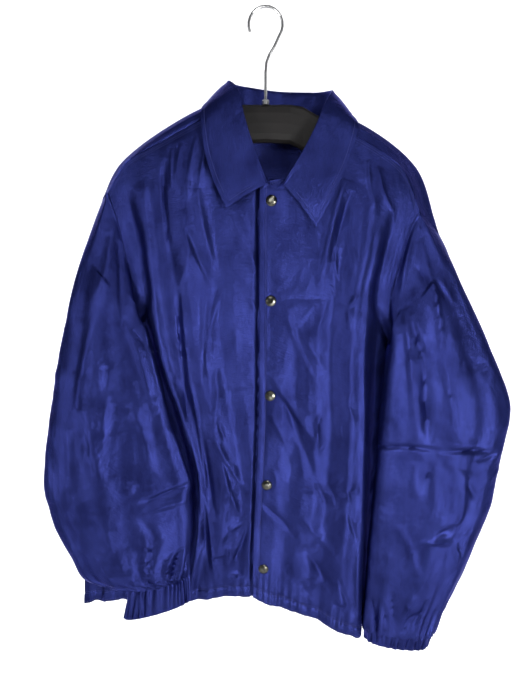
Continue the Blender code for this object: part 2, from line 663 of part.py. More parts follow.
def make_hook(steel):
    """A wire hook: a straight stem that bends aside into an open round loop."""
    loop_z = HOOK_WIRE / 2 - HOOK_LOOP_RADIUS
    route = [(0, 0, HOOK_STEM_FOOT_Z), (0, 0, -96), (0, 0, -78), (1, 0, -66), (5, 0, -56),
             (11, 0, -47)]
    for degrees in range(-36, 205, 16):
        angle = math.radians(degrees)
        route.append((HOOK_LOOP_RADIUS * math.cos(angle), 0,
                      loop_z + HOOK_LOOP_RADIUS * math.sin(angle)))
    curve = bpy.data.curves.new("hanger_hook", "CURVE")
    curve.dimensions = "3D"
    curve.bevel_depth = HOOK_WIRE / 2 * MM
    curve.bevel_resolution = 2
    curve.use_fill_caps = True
    spline = curve.splines.new("POLY")
    spline.points.add(len(route) - 1)
    for point, place in zip(spline.points, route):
        point.co = (place[0] * MM, place[1] * MM, place[2] * MM, 1)
    curve.materials.append(steel)
    scene_object = bpy.data.objects.new("hanger_hook", curve)
    bpy.context.collection.objects.link(scene_object)


def build():
    clear_scene()
    cloth = make_material("satin_shell", CLOTH_BLUE, 0.4, 0.0)
    metal = make_material("snap_metal", METAL_GREY, 0.35, 1.0)
    plastic = make_material("hanger_plastic", PLASTIC_BLACK, 0.5, 0.0)
    steel = make_material("hook_steel", STEEL, 0.3, 1.0)
    make_body(cloth)
    make_sleeves(cloth)
    make_cuffs(cloth)
    make_collar(cloth)
    make_snaps(metal)
    make_hanger(plastic)
    make_ferrule(steel)
    make_hook(steel)


build()
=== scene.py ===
"""A satin nylon coach jacket hanging on its moulded hanger, in a plain pale studio.

Tables are in millimetres, seen from the front: x runs to the wearer's left and z up.
What reaches a mesh is in metres. The panels repeat the part's own sizes, on a finer
grid, and add the creases, gathers, seams and stitching of the real cloth.
"""

import json
import math
from collections import namedtuple

import bpy
import numpy as np
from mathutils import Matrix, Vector
from mathutils.bvhtree import BVHTree

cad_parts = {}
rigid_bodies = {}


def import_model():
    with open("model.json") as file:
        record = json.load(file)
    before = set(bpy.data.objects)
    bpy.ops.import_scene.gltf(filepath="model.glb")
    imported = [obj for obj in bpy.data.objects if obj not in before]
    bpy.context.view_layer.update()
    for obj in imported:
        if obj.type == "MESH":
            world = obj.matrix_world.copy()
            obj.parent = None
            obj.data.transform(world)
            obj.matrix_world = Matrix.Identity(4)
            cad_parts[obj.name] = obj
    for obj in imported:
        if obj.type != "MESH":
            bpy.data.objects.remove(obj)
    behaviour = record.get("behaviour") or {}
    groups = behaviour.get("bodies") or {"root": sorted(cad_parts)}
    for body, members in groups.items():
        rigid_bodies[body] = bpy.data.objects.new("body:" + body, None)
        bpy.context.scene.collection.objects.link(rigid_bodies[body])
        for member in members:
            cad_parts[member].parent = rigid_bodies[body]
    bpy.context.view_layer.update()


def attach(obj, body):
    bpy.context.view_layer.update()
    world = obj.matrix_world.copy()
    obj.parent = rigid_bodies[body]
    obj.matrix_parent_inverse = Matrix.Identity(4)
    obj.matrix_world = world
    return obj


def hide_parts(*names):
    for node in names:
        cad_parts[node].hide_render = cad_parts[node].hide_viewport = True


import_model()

MM = 0.001

# Walls of the cloth, how far a piece stands off its neighbour along their seam, and how
# far a sleeve's points are turned at the pit. The last three keep the sleeves off the
# fronts and the collar off the back.
CLOTH_WALL = 0.8
COLLAR_WALL = 1.2
SIDE_SEAM_STEP = 1.4
SHOULDER_SEAM_STEP = 0.8
ARMHOLE_SEAM_STEP = 0.5
PIT_STEP = 1.2
PIT_FORWARD = 8.0
PIT_TURN = math.radians(50)
SPARE_GAP = 0.5
SLEEVE_REACH = 6.0
COLLAR_REACH = 3.0

# Stitches, and how far each row lies from the edge of its piece.
STITCH_PITCH = 3.2
STITCH_LENGTH = 2.3
STITCH_WIDTH = 0.55
STITCH_RISE = 0.12
STITCH_SINK = 0.1
HEM_CHANNEL = 17.0
HEM_ROWS = (HEM_CHANNEL, HEM_CHANNEL + 3, 4.0)
SEAM_ROWS = (3.5, 6.5)
PLACKET_ROW = 8.5
COLLAR_ROW = 6.0

# Creases: the roundness of a crest, and how much of a table's depth is laid.
CREST = 0.28
CREASE_STRENGTH = 1.55
BACK_SHARE = 0.75

# The elastic hem: gathers above its stitch line, and the waviness of its edge.
HEM_GATHER = 2.2
HEM_GATHER_PITCH = 12.5
HEM_GATHER_REACH = 15
HEM_WAVE = 3.6
HEM_WAVE_REACH = 48
HEM_WAVER = 2.0

# The sleeve's end: gathers into the cuff, folds that fan out of them, and the puff of
# cloth that sinks over the cuff, with its depth on the left and on the right. The cuff
# swells between its ends, and its head is tucked into the sleeve.
SLEEVE_GATHERS = 27
GATHER_DEPTH = 2.7
GATHER_REACH = 24
FAN_DEPTH = 4.5
FAN_REACH = 60
PUFF_LEFT = 17.0
PUFF_RIGHT = 3.0
PUFF_MIDDLE = 12
PUFF_WIDTH = 11
CUFF_SWELL = 0.9
CUFF_TUCK = 1.1
CUFF_START = 1.5

# The hollow beside each side seam, and the dark line where the left front laps over.
HOLLOW_LEFT = 7.5
HOLLOW_RIGHT = 5.5
HOLLOW_MIDDLE = 25
HOLLOW_WIDTH = 11
LAP_DEPTH = 4.2
LAP_INSET = -2.0
LAP_WIDTH = 2.8

# Rows and columns of the grids.
FRONT_GRID = (270, 140)
BACK_GRID = (230, 170)
SLEEVE_GRID = (205, 160)
CUFF_GRID = (16, 420)
COLLAR_GRID = (44, 260)

# The paper's sizes in metres and its glow, then the camera: its sensor's height in
# millimetres, and the photo's height and the focal length in the photo's pixels.
PAPER_WIDTH = 9.0
PAPER_FRONT = -4.0
PAPER_BACK = 1.1
PAPER_LEVEL = -1.5
PAPER_BEND = 0.8
PAPER_BEND_STEPS = 8
PAPER_RISE = 4.0
STAGE_GLOW = 1.0
SENSOR_HEIGHT = 24.0
PHOTO_HEIGHT = 700
FOCAL_PIXELS = 566

# The fronts, a row for each level: the front edge, the ridge over the chest, the turn
# towards the side and the side seam. Drops are from the row's level.
FrontRow = namedtuple("FrontRow", "level edge_x edge_y ridge_x ridge_y ridge_drop "
                                  "turn_x turn_y side_x side_y side_drop")
FRONT_LEFT_ROWS = [
    FrontRow(-812, -18, -36, 134, -38, -62, 157, 5, 235, 30, -93),
    FrontRow(-735, -17, -37, 134, -42, -38, 157, 3, 240, 31, -65),
    FrontRow(-640, -13, -38, 135, -46, -25, 156, 0, 241, 31, -55),
    FrontRow(-545, -9, -39, 135, -46, -15, 157, 0, 236, 30, -52),
    FrontRow(-455, -8, -39, 132, -43, -8, 159, 0, 224, 26, -48),
    FrontRow(-365, -8, -38, 134, -38, -8, 156, -24, 172, -15, -20),
    FrontRow(-290, -8, -38, 142, -35, -28, 163, -25, 183, -16, -34),
    FrontRow(-226, -7, -38, 150, -31, -30, 176, -24, 196, -17, -49),
    FrontRow(-208, 55, -36, 156, -27, -14, 182, -22, 201, -18, -56),
    FrontRow(-148, 95, -15, 161, -19, -38, 184, -19, 205, -20, -109),
]
FRONT_RIGHT_ROWS = [
    FrontRow(-812, 28, -30, -118, -26, -12, -165, -4, -289, 31, -52),
    FrontRow(-735, 29, -31, -100, -34, -6, -125, -4, -284, 31, -28),
    FrontRow(-640, 32, -31, -92, -38, -2, -114, -4, -272, 31, -12),
    FrontRow(-545, 34, -31, -112, -40, 4, -134, -6, -256, 30, 2),
    FrontRow(-455, 35, -31, -140, -38, 8, -160, -8, -232, 26, 10),
    FrontRow(-365, 35, -31, -150, -35, 4, -167, -22, -181, -15, -8),
    FrontRow(-290, 35, -31, -155, -33, 2, -175, -22, -190, -18, -18),
    FrontRow(-226, 33, -31, -160, -29, -8, -182, -21, -198, -19, -42),
    FrontRow(-205, -15, -35, -160, -24, -10, -184, -21, -204, -19, -43),
    FrontRow(-127, -60, -14, -152, -17, -49, -183, -18, -209, -18, -105),
]

# Where the four guide points lie across a front, how far the turn drops towards the side
# seam's level, and the row that ends in the armhole's pit.
FRONT_PLACES = [0.0, 0.55, 0.68, 1.0]
TURN_SHARE = 0.3
PIT_ROW = 4

# The back below the pits: its depth behind the neck and the height of each row.
BACK_DEPTHS = [45, 46, 47, 46, 44]
BACK_LEVELS = [-858, -763, -656, -552, -458]

# The back above the pits, a row of points for each level, over to the shoulder seams.
YokeRow = namedtuple("YokeRow", "right_arm right_end right_neck right_nape nape "
                                "left_nape left_neck left_end left_arm")
BACK_ROWS_ABOVE = [
    YokeRow((-218, 22, -360), (-170, 36, -362), (-76, 41, -368), (-32, 42, -372), (12, 42, -374),
            (56, 42, -376), (94, 41, -378), (176, 37, -388), (214, 23, -402)),
    YokeRow((-221, 15, -295), (-180, 29, -285), (-72, 37, -280), (-34, 39, -284), (16, 39, -288),
            (62, 39, -290), (96, 37, -290), (184, 30, -300), (225, 19, -338)),
    YokeRow((-223, 9, -254), (-192, 19, -214), (-66, 17, -146), (-38, 33, -170), (17, 38, -184),
            (72, 33, -182), (97, 17, -166), (196, 19, -214), (235, 10, -296)),
    YokeRow((-222, 0, -240), (-198, 0.5, -196.5), (-61.5, 1, -115.5), (-43, 29, -134),
            (17.5, 37, -150), (77, 29, -146), (94, 1, -131), (203, 1, -196.5), (238, -1, -284)),
    YokeRow((-209, -18, -232), (-183, -18, -194), (-60, -14, -126), (-45, 26, -120),
            (18, 36, -127), (80, 26, -133), (95, -15, -147), (184, -19, -206), (205, -20, -256)),
]

# The yoke's points that rest on the hanger, the row at the shoulders' top, how much that
# top is rounded, and where the guide points lie across the back.
ON_HANGER = [0, 1, 2, 6, 7, 8]
BACK_TOP_ROW = -3
SHOULDER_ROUNDING = 1.6
BACK_PLACES = [0.0, 0.12, 0.33, 0.4, 0.5, 0.6, 0.67, 0.88, 1.0]

# The sleeves, a flattened ring for each row from the shoulder down to the cuff.
SleeveRow = namedtuple("SleeveRow", "inner_x inner_z outer_x outer_z middle_y half_depth")
SLEEVE_LEFT_ROWS = [
    SleeveRow(170, -438, 263, -344, -17, 19),
    SleeveRow(165, -500, 308, -432, -17, 22),
    SleeveRow(162, -556, 348, -532, -17, 23),
    SleeveRow(161, -604, 339, -600, -17, 23),
    SleeveRow(157, -655, 333, -652, -18, 24),
    SleeveRow(153, -725, 312, -727, -19, 25),
    SleeveRow(150, -795, 283, -803, -20, 26),
    SleeveRow(149, -838, 263, -850, -20, 26),
    SleeveRow(151, -860, 254, -871, -20, 24),
]
SLEEVE_RIGHT_ROWS = [
    SleeveRow(-165, -412, -256, -342, -24, 19),
    SleeveRow(-149, -466, -276, -418, -29, 20),
    SleeveRow(-134, -530, -295, -512, -34, 21),
    SleeveRow(-118, -592, -309, -594, -37, 20),
    SleeveRow(-106, -640, -312, -632, -40, 20),
    SleeveRow(-105, -690, -302, -688, -44, 20),
    SleeveRow(-108, -728, -280, -735, -48, 21),
    SleeveRow(-110, -754, -255, -772, -52, 20),
    SleeveRow(-109, -766, -194, -786, -53, 17),
]
CUFF_LEFT_FOOT = SleeveRow(152, -889, 246, -902, -20, 20)
CUFF_RIGHT_FOOT = SleeveRow(-110, -804, -203, -832, -54, 15)

# The collar, from its right front end round the neck to its left: the neck seam, the
# top of the roll and the edge of the leaf.
CollarRow = namedtuple("CollarRow", "seam roll edge")
COLLAR_STATIONS = [
    CollarRow((10, -40, -227), (5, -46, -223), (-50, -50, -254)),
    CollarRow((-22, -40, -197), (-11, -42, -184), (-68, -47, -216)),
    CollarRow((-50, -30, -157), (-25, -29, -140), (-80, -38, -172)),
    CollarRow((-60, -14, -122), (-35, -12, -100), (-84, -23, -131)),
    CollarRow((-54, 8, -113), (-47, 8, -87), (-79, 14, -115)),
    CollarRow((-28, 28, -121), (-26, 34, -87), (-46, 50, -146)),
    CollarRow((18, 33, -124), (19, 42, -91), (19, 59, -157)),
    CollarRow((64, 30, -130), (65, 36, -94), (80, 52, -156)),
    CollarRow((90, 9, -127), (87, 10, -98), (114, 16, -132)),
    CollarRow((96, -14, -142), (76, -12, -119), (120, -25, -147)),
    CollarRow((84, -31, -178), (62, -29, -152), (108, -40, -190)),
    CollarRow((50, -40, -213), (40, -42, -193), (88, -48, -234)),
    CollarRow((14, -40, -228), (19, -46, -224), (65, -50, -278)),
]
COLLAR_ROLL_RADIUS = 3.0

# The large folds: where each lies across a panel at its foot and its head (0 to 1), how
# far up it starts and ends, its width across, and its depth in millimetres.
Fold = namedtuple("Fold", "foot head start end width depth")
FRONT_LEFT_FOLDS = [
    Fold(0.14, 0.20, 0.00, 0.55, 0.13, -3.0),
    Fold(0.33, 0.40, 0.00, 0.88, 0.15, -4.5),
    Fold(0.45, 0.52, 0.05, 0.95, 0.12, 3.5),
    Fold(0.84, 0.84, 0.00, 0.42, 0.16, -5.0),
]
FRONT_RIGHT_FOLDS = [
    Fold(0.28, 0.26, 0.05, 0.90, 0.13, -4.0),
    Fold(0.40, 0.36, 0.10, 0.96, 0.12, 4.0),
    Fold(0.50, 0.50, 0.00, 0.92, 0.12, -5.0),
    Fold(0.86, 0.86, 0.00, 0.42, 0.16, -5.0),
]
BACK_FOLDS = [
    Fold(0.16, 0.20, 0.00, 0.66, 0.09, -6.0),
    Fold(0.31, 0.30, 0.00, 0.72, 0.10, 5.0),
    Fold(0.44, 0.40, 0.02, 0.60, 0.08, -5.0),
    Fold(0.57, 0.60, 0.00, 0.66, 0.09, 5.0),
    Fold(0.70, 0.70, 0.00, 0.72, 0.10, -6.0),
    Fold(0.85, 0.81, 0.00, 0.66, 0.09, -6.0),
]
SLEEVE_FOLDS = [
    Fold(0.20, 0.16, 0.10, 0.75, 0.10, -3.5),
    Fold(0.34, 0.30, 0.15, 0.98, 0.09, -4.0),
    Fold(0.66, 0.70, 0.12, 0.80, 0.10, -4.0),
    Fold(0.80, 0.84, 0.30, 0.98, 0.09, -3.5),
]

# The creases, each through three points from end to end, with its width, its depth (a
# ridge above zero, a trough below) and how much steeper its one side is.
Crease = namedtuple("Crease", "name x1 z1 x2 z2 x3 z3 width depth skew")
FRONT_LEFT_CREASES = [
    Crease("ridge under the leaf", 103, -216, 88, -271, 70, -353, 16, 3.2, 0.5),
    Crease("trough beside it", 112, -231, 99, -279, 87, -323, 14, -3, -0.3),
    Crease("fine ridge", 114, -250, 111, -289, 123, -326, 7, 1.2, 0.2),
    Crease("shoulder ridge a", 135, -191, 135, -221, 143, -251, 8, 1.6, 0.3),
    Crease("shoulder ridge b", 147, -199, 154, -231, 170, -258, 9, 1.5, 0),
    Crease("second ridge", 95, -284, 93, -323, 101, -360, 8, 1.6, -0.2),
    Crease("Y left", 87, -352, 97, -373, 110, -381, 6, 1.6, 0.3),
    Crease("Y right", 122, -365, 116, -376, 110, -383, 6, 1.6, -0.3),
    Crease("Y stem", 110, -381, 111, -398, 113, -414, 6, 1.6, 0),
    Crease("crossing crease", 22, -372, 46, -372, 80, -373, 7, -1, 0),
    Crease("slant a", 25, -381, 43, -434, 72, -490, 12, 1.8, 0.4),
    Crease("slant b", 43, -403, 61, -439, 83, -472, 9, 1.4, 0.4),
    Crease("slant b trough", 36, -403, 51, -441, 69, -478, 9, -1.4, 0),
    Crease("slant c", 4, -472, 30, -514, 74, -578, 12, 2.4, 0.5),
    Crease("slant c trough", 22, -500, 43, -555, 72, -629, 16, -2.8, 0.2),
    Crease("slant d", 4, -529, 20, -558, 35, -591, 8, 1.2, 0.4),
    Crease("short shine a", 118, -495, 114, -514, 122, -540, 6, 1.8, 0),
    Crease("short shine b", 74, -530, 72, -552, 74, -575, 6, 1.3, 0),
    Crease("short shine c", 105, -540, 103, -555, 110, -569, 8, 1, 0),
    Crease("crumple a", 38, -635, 64, -641, 92, -638, 8, -1.4, 0.2),
    Crease("crumple b", 70, -626, 79, -647, 87, -659, 7, -1.8, 0),
    Crease("crumple c", 89, -638, 98, -650, 101, -667, 8, -1.8, 0),
    Crease("crumple d", 93, -632, 103, -624, 109, -617, 6, 1.6, 0),
    Crease("crumple e", 113, -635, 115, -644, 119, -654, 6, 1.8, 0),
    Crease("crumple f", 98, -644, 115, -642, 135, -641, 8, -1.6, 0.2),
    Crease("crumple g", 29, -591, 36, -611, 32, -629, 8, -1.4, 0),
    Crease("low crease", -5, -663, 15, -683, 47, -719, 8, -2.4, 0.35),
    Crease("low crease foot", 55, -725, 77, -768, 101, -800, 18, -2.6, 0.2),
    Crease("low crease ridge", 50, -682, 76, -713, 106, -752, 16, 1.6, 0.2),
    Crease("side line", 115, -663, 123, -694, 133, -721, 6, -1.6, 0.3),
    Crease("side ridge low", 133, -728, 133, -784, 136, -841, 9, 1.6, 0.3),
    Crease("hem crease a", 107, -776, 115, -803, 124, -829, 9, -1.6, 0),
    Crease("hem crease b", 51, -784, 59, -800, 69, -816, 8, -1.4, 0),
    Crease("placket line", 1, -281, 1, -373, 1, -483, 5, 0.8, 0.3),
    Crease("shine near snap 4", 7, -611, 15, -626, 10, -644, 9, 1.2, 0),
]
FRONT_RIGHT_CREASES = [
    Crease("collar shade", -74, -171, -67, -208, -54, -251, 14, -3, 0.2),
    Crease("shoulder fold a", -76, -154, -81, -193, -91, -238, 9, 2.2, 0.3),
    Crease("shoulder fold b", -90, -162, -98, -199, -103, -243, 9, 1.6, 0.2),
    Crease("shoulder fold c", -110, -171, -116, -205, -115, -233, 8, 1.4, 0.2),
    Crease("shoulder fold d", -123, -176, -123, -208, -122, -230, 7, 1.6, 0),
    Crease("long trough", -132, -190, -133, -262, -119, -357, 12, -3.6, 0.3),
    Crease("long trough low", -119, -357, -115, -442, -108, -541, 11, -3, 0.3),
    Crease("chest ridge", -88, -228, -82, -275, -64, -347, 20, 2.8, -0.3),
    Crease("chest trough", -105, -275, -92, -310, -74, -352, 9, -2.2, 0.3),
    Crease("chest ridge low", -106, -288, -104, -323, -115, -353, 10, 1.4, 0),
    Crease("band edge left", -111, -363, -107, -442, -97, -527, 8, 2, -0.3),
    Crease("band middle", -81, -374, -85, -442, -90, -491, 20, 2.2, 0),
    Crease("band edge right", -58, -357, -73, -407, -79, -473, 7, 2, 0.4),
    Crease("band edge trough", -70, -398, -77, -435, -79, -477, 6, -1.6, 0),
    Crease("belly shine", -69, -470, -67, -512, -73, -548, 18, 2.4, 0.3),
    Crease("placket slant a", -49, -262, -27, -301, -10, -340, 9, 1.4, 0.2),
    Crease("placket slant b", -46, -336, -30, -347, -13, -368, 8, 1.2, 0.2),
    Crease("placket slant c", -22, -371, -17, -380, -10, -392, 7, 1.4, 0),
    Crease("tick shine", -43, -412, -40, -428, -42, -445, 6, 1.4, 0),
    Crease("crossing crease", -57, -497, -38, -500, -13, -495, 6, -1, 0),
    Crease("crisp line a", -101, -487, -93, -556, -83, -645, 7, 2, 0.35),
    Crease("crisp line b", -88, -648, -80, -714, -74, -818, 7, 2.4, 0.35),
    Crease("crisp line trough", -87, -556, -80, -630, -71, -691, 14, -2.4, 0),
    Crease("trough between", -90, -691, -86, -730, -83, -778, 9, -2.2, 0),
    Crease("slant from band", -72, -567, -53, -603, -28, -648, 11, 2.2, 0.4),
    Crease("slant ridge low", -61, -603, -48, -653, -34, -688, 12, 2, -0.3),
    Crease("slant pocket", -66, -541, -61, -556, -57, -570, 7, -1.4, 0),
    Crease("knee shine", -54, -703, -39, -700, -28, -688, 9, 2, 0),
    Crease("knee trough", -25, -691, -31, -722, -46, -757, 10, -2.6, 0.4),
    Crease("low ridge", -54, -730, -56, -746, -57, -762, 8, 1.6, 0),
    Crease("hem shine", -55, -794, -47, -786, -40, -779, 12, 1.8, 0),
    Crease("under collar slant", -44, -253, -28, -271, -21, -292, 9, 1, 0),
    Crease("low trough", -108, -556, -99, -630, -94, -691, 8, -1.6, 0),
    Crease("left crumple", -107, -615, -99, -621, -93, -615, 6, -1.4, 0),
]
SLEEVE_RIGHT_CREASES = [
    Crease("head ridge", -204, -267, -210, -323, -223, -379, 20, 3.2, 0),
    Crease("head trough", -198, -295, -194, -359, -193, -412, 12, -2.2, 0),
    Crease("inner roll", -187, -295, -167, -412, -131, -550, 10, 2.6, 0.5),
    Crease("roll low", -131, -550, -117, -601, -105, -641, 10, 2.6, 0.5),
    Crease("outer band", -230, -399, -248, -480, -253, -522, 16, 2.6, 0),
    Crease("hollow a", -217, -461, -212, -477, -219, -497, 14, -2.4, 0),
    Crease("band b", -243, -505, -231, -536, -226, -559, 8, -2, 0.2),
    Crease("band c", -216, -502, -216, -525, -220, -547, 8, 1.8, 0),
    Crease("slant a", -190, -401, -173, -446, -157, -508, 13, 2.4, 0.3),
    Crease("slant a trough", -177, -412, -165, -432, -154, -439, 10, -1.8, 0),
    Crease("slant b", -184, -511, -169, -550, -157, -608, 13, 2.4, 0.3),
    Crease("outer ridge", -268, -550, -268, -593, -267, -638, 22, 2.6, 0),
    Crease("outer ridge b", -238, -550, -233, -586, -226, -623, 10, 2, 0.2),
    Crease("outer trough", -249, -550, -245, -579, -239, -611, 8, -1.8, 0),
    Crease("elbow crease", -172, -655, -140, -641, -108, -629, 9, -2.6, -0.3),
    Crease("elbow ridge", -172, -670, -148, -660, -111, -652, 14, 2.4, 0),
    Crease("elbow hollow", -174, -675, -160, -695, -152, -713, 12, -2.2, 0),
    Crease("fold a", -182, -623, -188, -632, -192, -642, 8, 1.6, 0),
    Crease("fold b", -249, -652, -247, -675, -244, -690, 12, -1.8, 0),
    Crease("fold c", -278, -667, -262, -695, -252, -713, 10, 1.6, 0),
    Crease("lower band", -226, -675, -217, -705, -210, -721, 16, 2, 0),
    Crease("gather a", -169, -693, -164, -728, -174, -791, 6, 1.8, 0),
    Crease("gather b", -155, -701, -162, -738, -169, -788, 6, -2.2, 0),
    Crease("gather c", -142, -705, -153, -744, -158, -794, 7, 2, 0),
    Crease("gather d", -117, -718, -128, -744, -139, -775, 6, -3.4, 0.3),
    Crease("gather e", -112, -731, -116, -753, -123, -778, 5, -2.8, 0),
    Crease("gather f", -106, -744, -105, -763, -104, -781, 6, -3, 0),
    Crease("gather g", -127, -725, -136, -744, -147, -772, 7, 2.2, 0),
    Crease("gather h", -189, -713, -185, -747, -181, -783, 7, 1.6, 0),
    Crease("cuff crease", -228, -778, -210, -785, -185, -791, 6, -3, 0.2),
    Crease("lower slant", -233, -728, -223, -753, -209, -775, 8, 1.6, 0.2),
]
SLEEVE_LEFT_CREASES = [
    Crease("head ridge", 201, -266, 191, -323, 185, -373, 14, 3, 0),
    Crease("band a", 187, -386, 199, -469, 212, -569, 13, 3.2, 0.2),
    Crease("trough a", 196, -397, 208, -434, 218, -460, 8, -2.6, 0.3),
    Crease("deep trough", 217, -455, 222, -511, 230, -577, 18, -4, 0),
    Crease("band b", 208, -294, 229, -373, 240, -448, 9, 3, -0.3),
    Crease("band b low", 240, -448, 255, -511, 266, -569, 14, 3, 0),
    Crease("head trough", 199, -331, 210, -340, 223, -373, 8, -2, 0),
    Crease("tongue", 205, -400, 209, -416, 215, -427, 8, 2.2, 0),
    Crease("outer fold", 229, -333, 243, -360, 255, -380, 9, 1.6, 0.2),
    Crease("outer hollow", 226, -344, 237, -362, 244, -373, 8, -1.8, 0),
    Crease("elbow nick", 280, -472, 293, -462, 306, -458, 8, -2, 0),
    Crease("crossing crease", 155, -588, 189, -580, 245, -585, 7, -2.8, 0.2),
    Crease("crossing crease b", 245, -585, 287, -585, 327, -591, 7, -2.8, 0.2),
    Crease("crossing nick", 299, -601, 313, -597, 328, -591, 7, -2.2, 0),
    Crease("lower band", 211, -601, 212, -628, 212, -652, 16, 3, 0),
    Crease("lower band b", 240, -607, 240, -658, 236, -689, 12, 2.4, 0),
    Crease("lower band c", 277, -613, 280, -658, 273, -696, 10, 2.4, 0.2),
    Crease("lower trough", 226, -601, 230, -616, 226, -658, 8, -2, 0),
    Crease("lower trough b", 257, -607, 259, -643, 259, -689, 8, -1.8, 0),
    Crease("hollow c", 284, -628, 294, -646, 300, -658, 9, -2.4, 0),
    Crease("hollow d", 243, -710, 257, -704, 268, -701, 12, -2.8, 0),
    Crease("cross ridge", 223, -721, 246, -719, 270, -724, 8, 2.4, 0),
    Crease("cross ridge b", 270, -724, 279, -740, 276, -764, 8, 2.4, 0),
    Crease("dark eye", 276, -727, 281, -735, 284, -745, 7, -2.4, 0),
    Crease("slant low", 191, -696, 206, -727, 217, -770, 12, 2.4, 0),
    Crease("slant low b", 238, -727, 231, -767, 218, -799, 9, 2.2, 0.2),
    Crease("slant low trough", 227, -727, 222, -748, 226, -767, 8, -2.2, 0),
    Crease("gather a", 218, -799, 209, -821, 200, -841, 7, 2.2, 0),
    Crease("gather b", 236, -808, 229, -831, 213, -846, 7, -3.4, 0),
    Crease("gather c", 203, -851, 214, -838, 226, -834, 6, -3, 0),
    Crease("inner line", 148, -751, 148, -799, 149, -839, 5, 1.6, 0),
    Crease("inner gather", 156, -812, 159, -831, 166, -851, 6, -2.4, 0),
    Crease("inner gather b", 172, -815, 176, -834, 179, -851, 6, -2.2, 0),
    Crease("inner gather c", 185, -799, 187, -825, 191, -848, 6, -2.4, 0),
]
BACK_CREASES = [
    Crease("from right arm", -150, -330, -120, -470, -70, -600, 26, -6.5, 0.2),
    Crease("beside right arm", -95, -300, -82, -420, -60, -520, 22, 4.5, 0.2),
    Crease("from left arm", 165, -330, 140, -480, 95, -620, 28, -7.0, -0.2),
    Crease("beside left arm", 110, -300, 100, -420, 70, -560, 24, 4.5, -0.2),
    Crease("middle soft", 10, -260, 2, -420, 14, -640, 40, 4.0, 0.0),
    Crease("middle valley", -30, -300, -34, -460, -10, -640, 30, -4.5, 0.1),
    Crease("waist right", -170, -620, -110, -672, -30, -690, 34, -3.5, 0.1),
    Crease("waist right crest", -165, -655, -105, -706, -30, -722, 30, 2.5, 0.1),
    Crease("waist left", 60, -720, 120, -702, 190, -650, 34, -3.5, -0.1),
    Crease("waist left crest", 70, -750, 130, -734, 190, -690, 30, 2.5, -0.1),
    Crease("hem right", -120, -740, -96, -790, -88, -848, 24, -5.0, 0.2),
    Crease("hem middle", 10, -730, 4, -790, 12, -850, 26, -4.5, 0.0),
    Crease("hem left", 120, -750, 112, -800, 122, -852, 24, -5.0, -0.2),
    Crease("yoke right", -130, -205, -90, -228, -40, -232, 24, -3.0, 0.2),
    Crease("yoke left", 45, -232, 100, -226, 150, -208, 24, -3.0, 0.2),
]


def unit(vectors):
    """The vectors at a length of one."""
    return vectors / np.linalg.norm(vectors, axis=-1, keepdims=True)


def smooth_step(low, high, value):
    """Rises from 0 at low to 1 at high."""
    t = np.clip((value - low) / (high - low), 0, 1)
    return t * t * (3 - 2 * t)


def bell(value, middle, width):
    """Is 1 at the middle and dies away on both sides."""
    return np.exp(-((value - middle) / width) ** 2)


def full_turn(count):
    """Angles spread evenly round a ring."""
    return 2 * np.pi * np.arange(count) / count


def run_length(line):
    """How far each point of a line lies from its first one."""
    return np.concatenate([[0], np.cumsum(np.linalg.norm(np.diff(line, axis=0), axis=1))])


def curve_through(places, values, at):
    """Cubic curve through the values at their places that doesn't overshoot them."""
    places = np.asarray(places, dtype=float)
    values = np.asarray(values, dtype=float)
    steps = np.diff(places).reshape((-1,) + (1,) * (values.ndim - 1))
    slopes = np.diff(values, axis=0) / steps
    same_way = slopes[:-1] * slopes[1:] > 0
    total = np.where(same_way, slopes[:-1] + slopes[1:], 1.0)
    inner = np.where(same_way, 2 * slopes[:-1] * slopes[1:] / total, 0.0)
    tangents = np.concatenate([slopes[:1], inner, slopes[-1:]])
    at = np.clip(np.asarray(at, dtype=float), places[0], places[-1])
    piece = np.clip(np.searchsorted(places, at, side="right") - 1, 0, len(places) - 2)
    shape = (-1,) + (1,) * (values.ndim - 1)
    length = (places[piece + 1] - places[piece]).reshape(shape)
    t = ((at - places[piece]) / (places[piece + 1] - places[piece])).reshape(shape)
    start = values[piece] * (2 * t**3 - 3 * t**2 + 1)
    end = values[piece + 1] * (3 * t**2 - 2 * t**3)
    leave = tangents[piece] * length * (t**3 - 2 * t**2 + t)
    arrive = tangents[piece + 1] * length * (t**3 - t**2)
    return start + end + leave + arrive


def lines_through(guides, count):
    """A number of lines spread evenly through the guide lines."""
    return curve_through(np.arange(len(guides)), guides, np.linspace(0, len(guides) - 1, count))


def patch_through(guides, places, rows, columns):
    """A grid of points over guides[row, guide, xyz], even along both ways."""
    lines = lines_through(guides, rows)
    across = curve_through(places, lines.transpose(1, 0, 2), np.linspace(0, 1, columns))
    return across.transpose(1, 0, 2)


def even_points(line, count):
    """Points spread evenly along a smooth line through the given ones."""
    length = run_length(line)
    return curve_through(length, line, np.linspace(0, length[-1], count))


def grid_normals(grid, round_shape=False):
    """Unit normals of a grid. A round grid closes on itself across its columns."""
    if round_shape:
        across = np.roll(grid, -1, axis=1) - np.roll(grid, 1, axis=1)
    else:
        across = np.gradient(grid, axis=1)
    return unit(np.cross(across, np.gradient(grid, axis=0)))


def distances(grid):
    """How far each point lies from the grid's four edges along the cloth."""
    across = np.linalg.norm(np.diff(grid, axis=1), axis=2)
    along = np.linalg.norm(np.diff(grid, axis=0), axis=2)
    first = np.concatenate([np.zeros((len(grid), 1)), np.cumsum(across, axis=1)], axis=1)
    foot = np.concatenate([np.zeros((1, grid.shape[1])), np.cumsum(along, axis=0)], axis=0)
    return first, first[:, -1:] - first, foot, foot[-1:] - foot


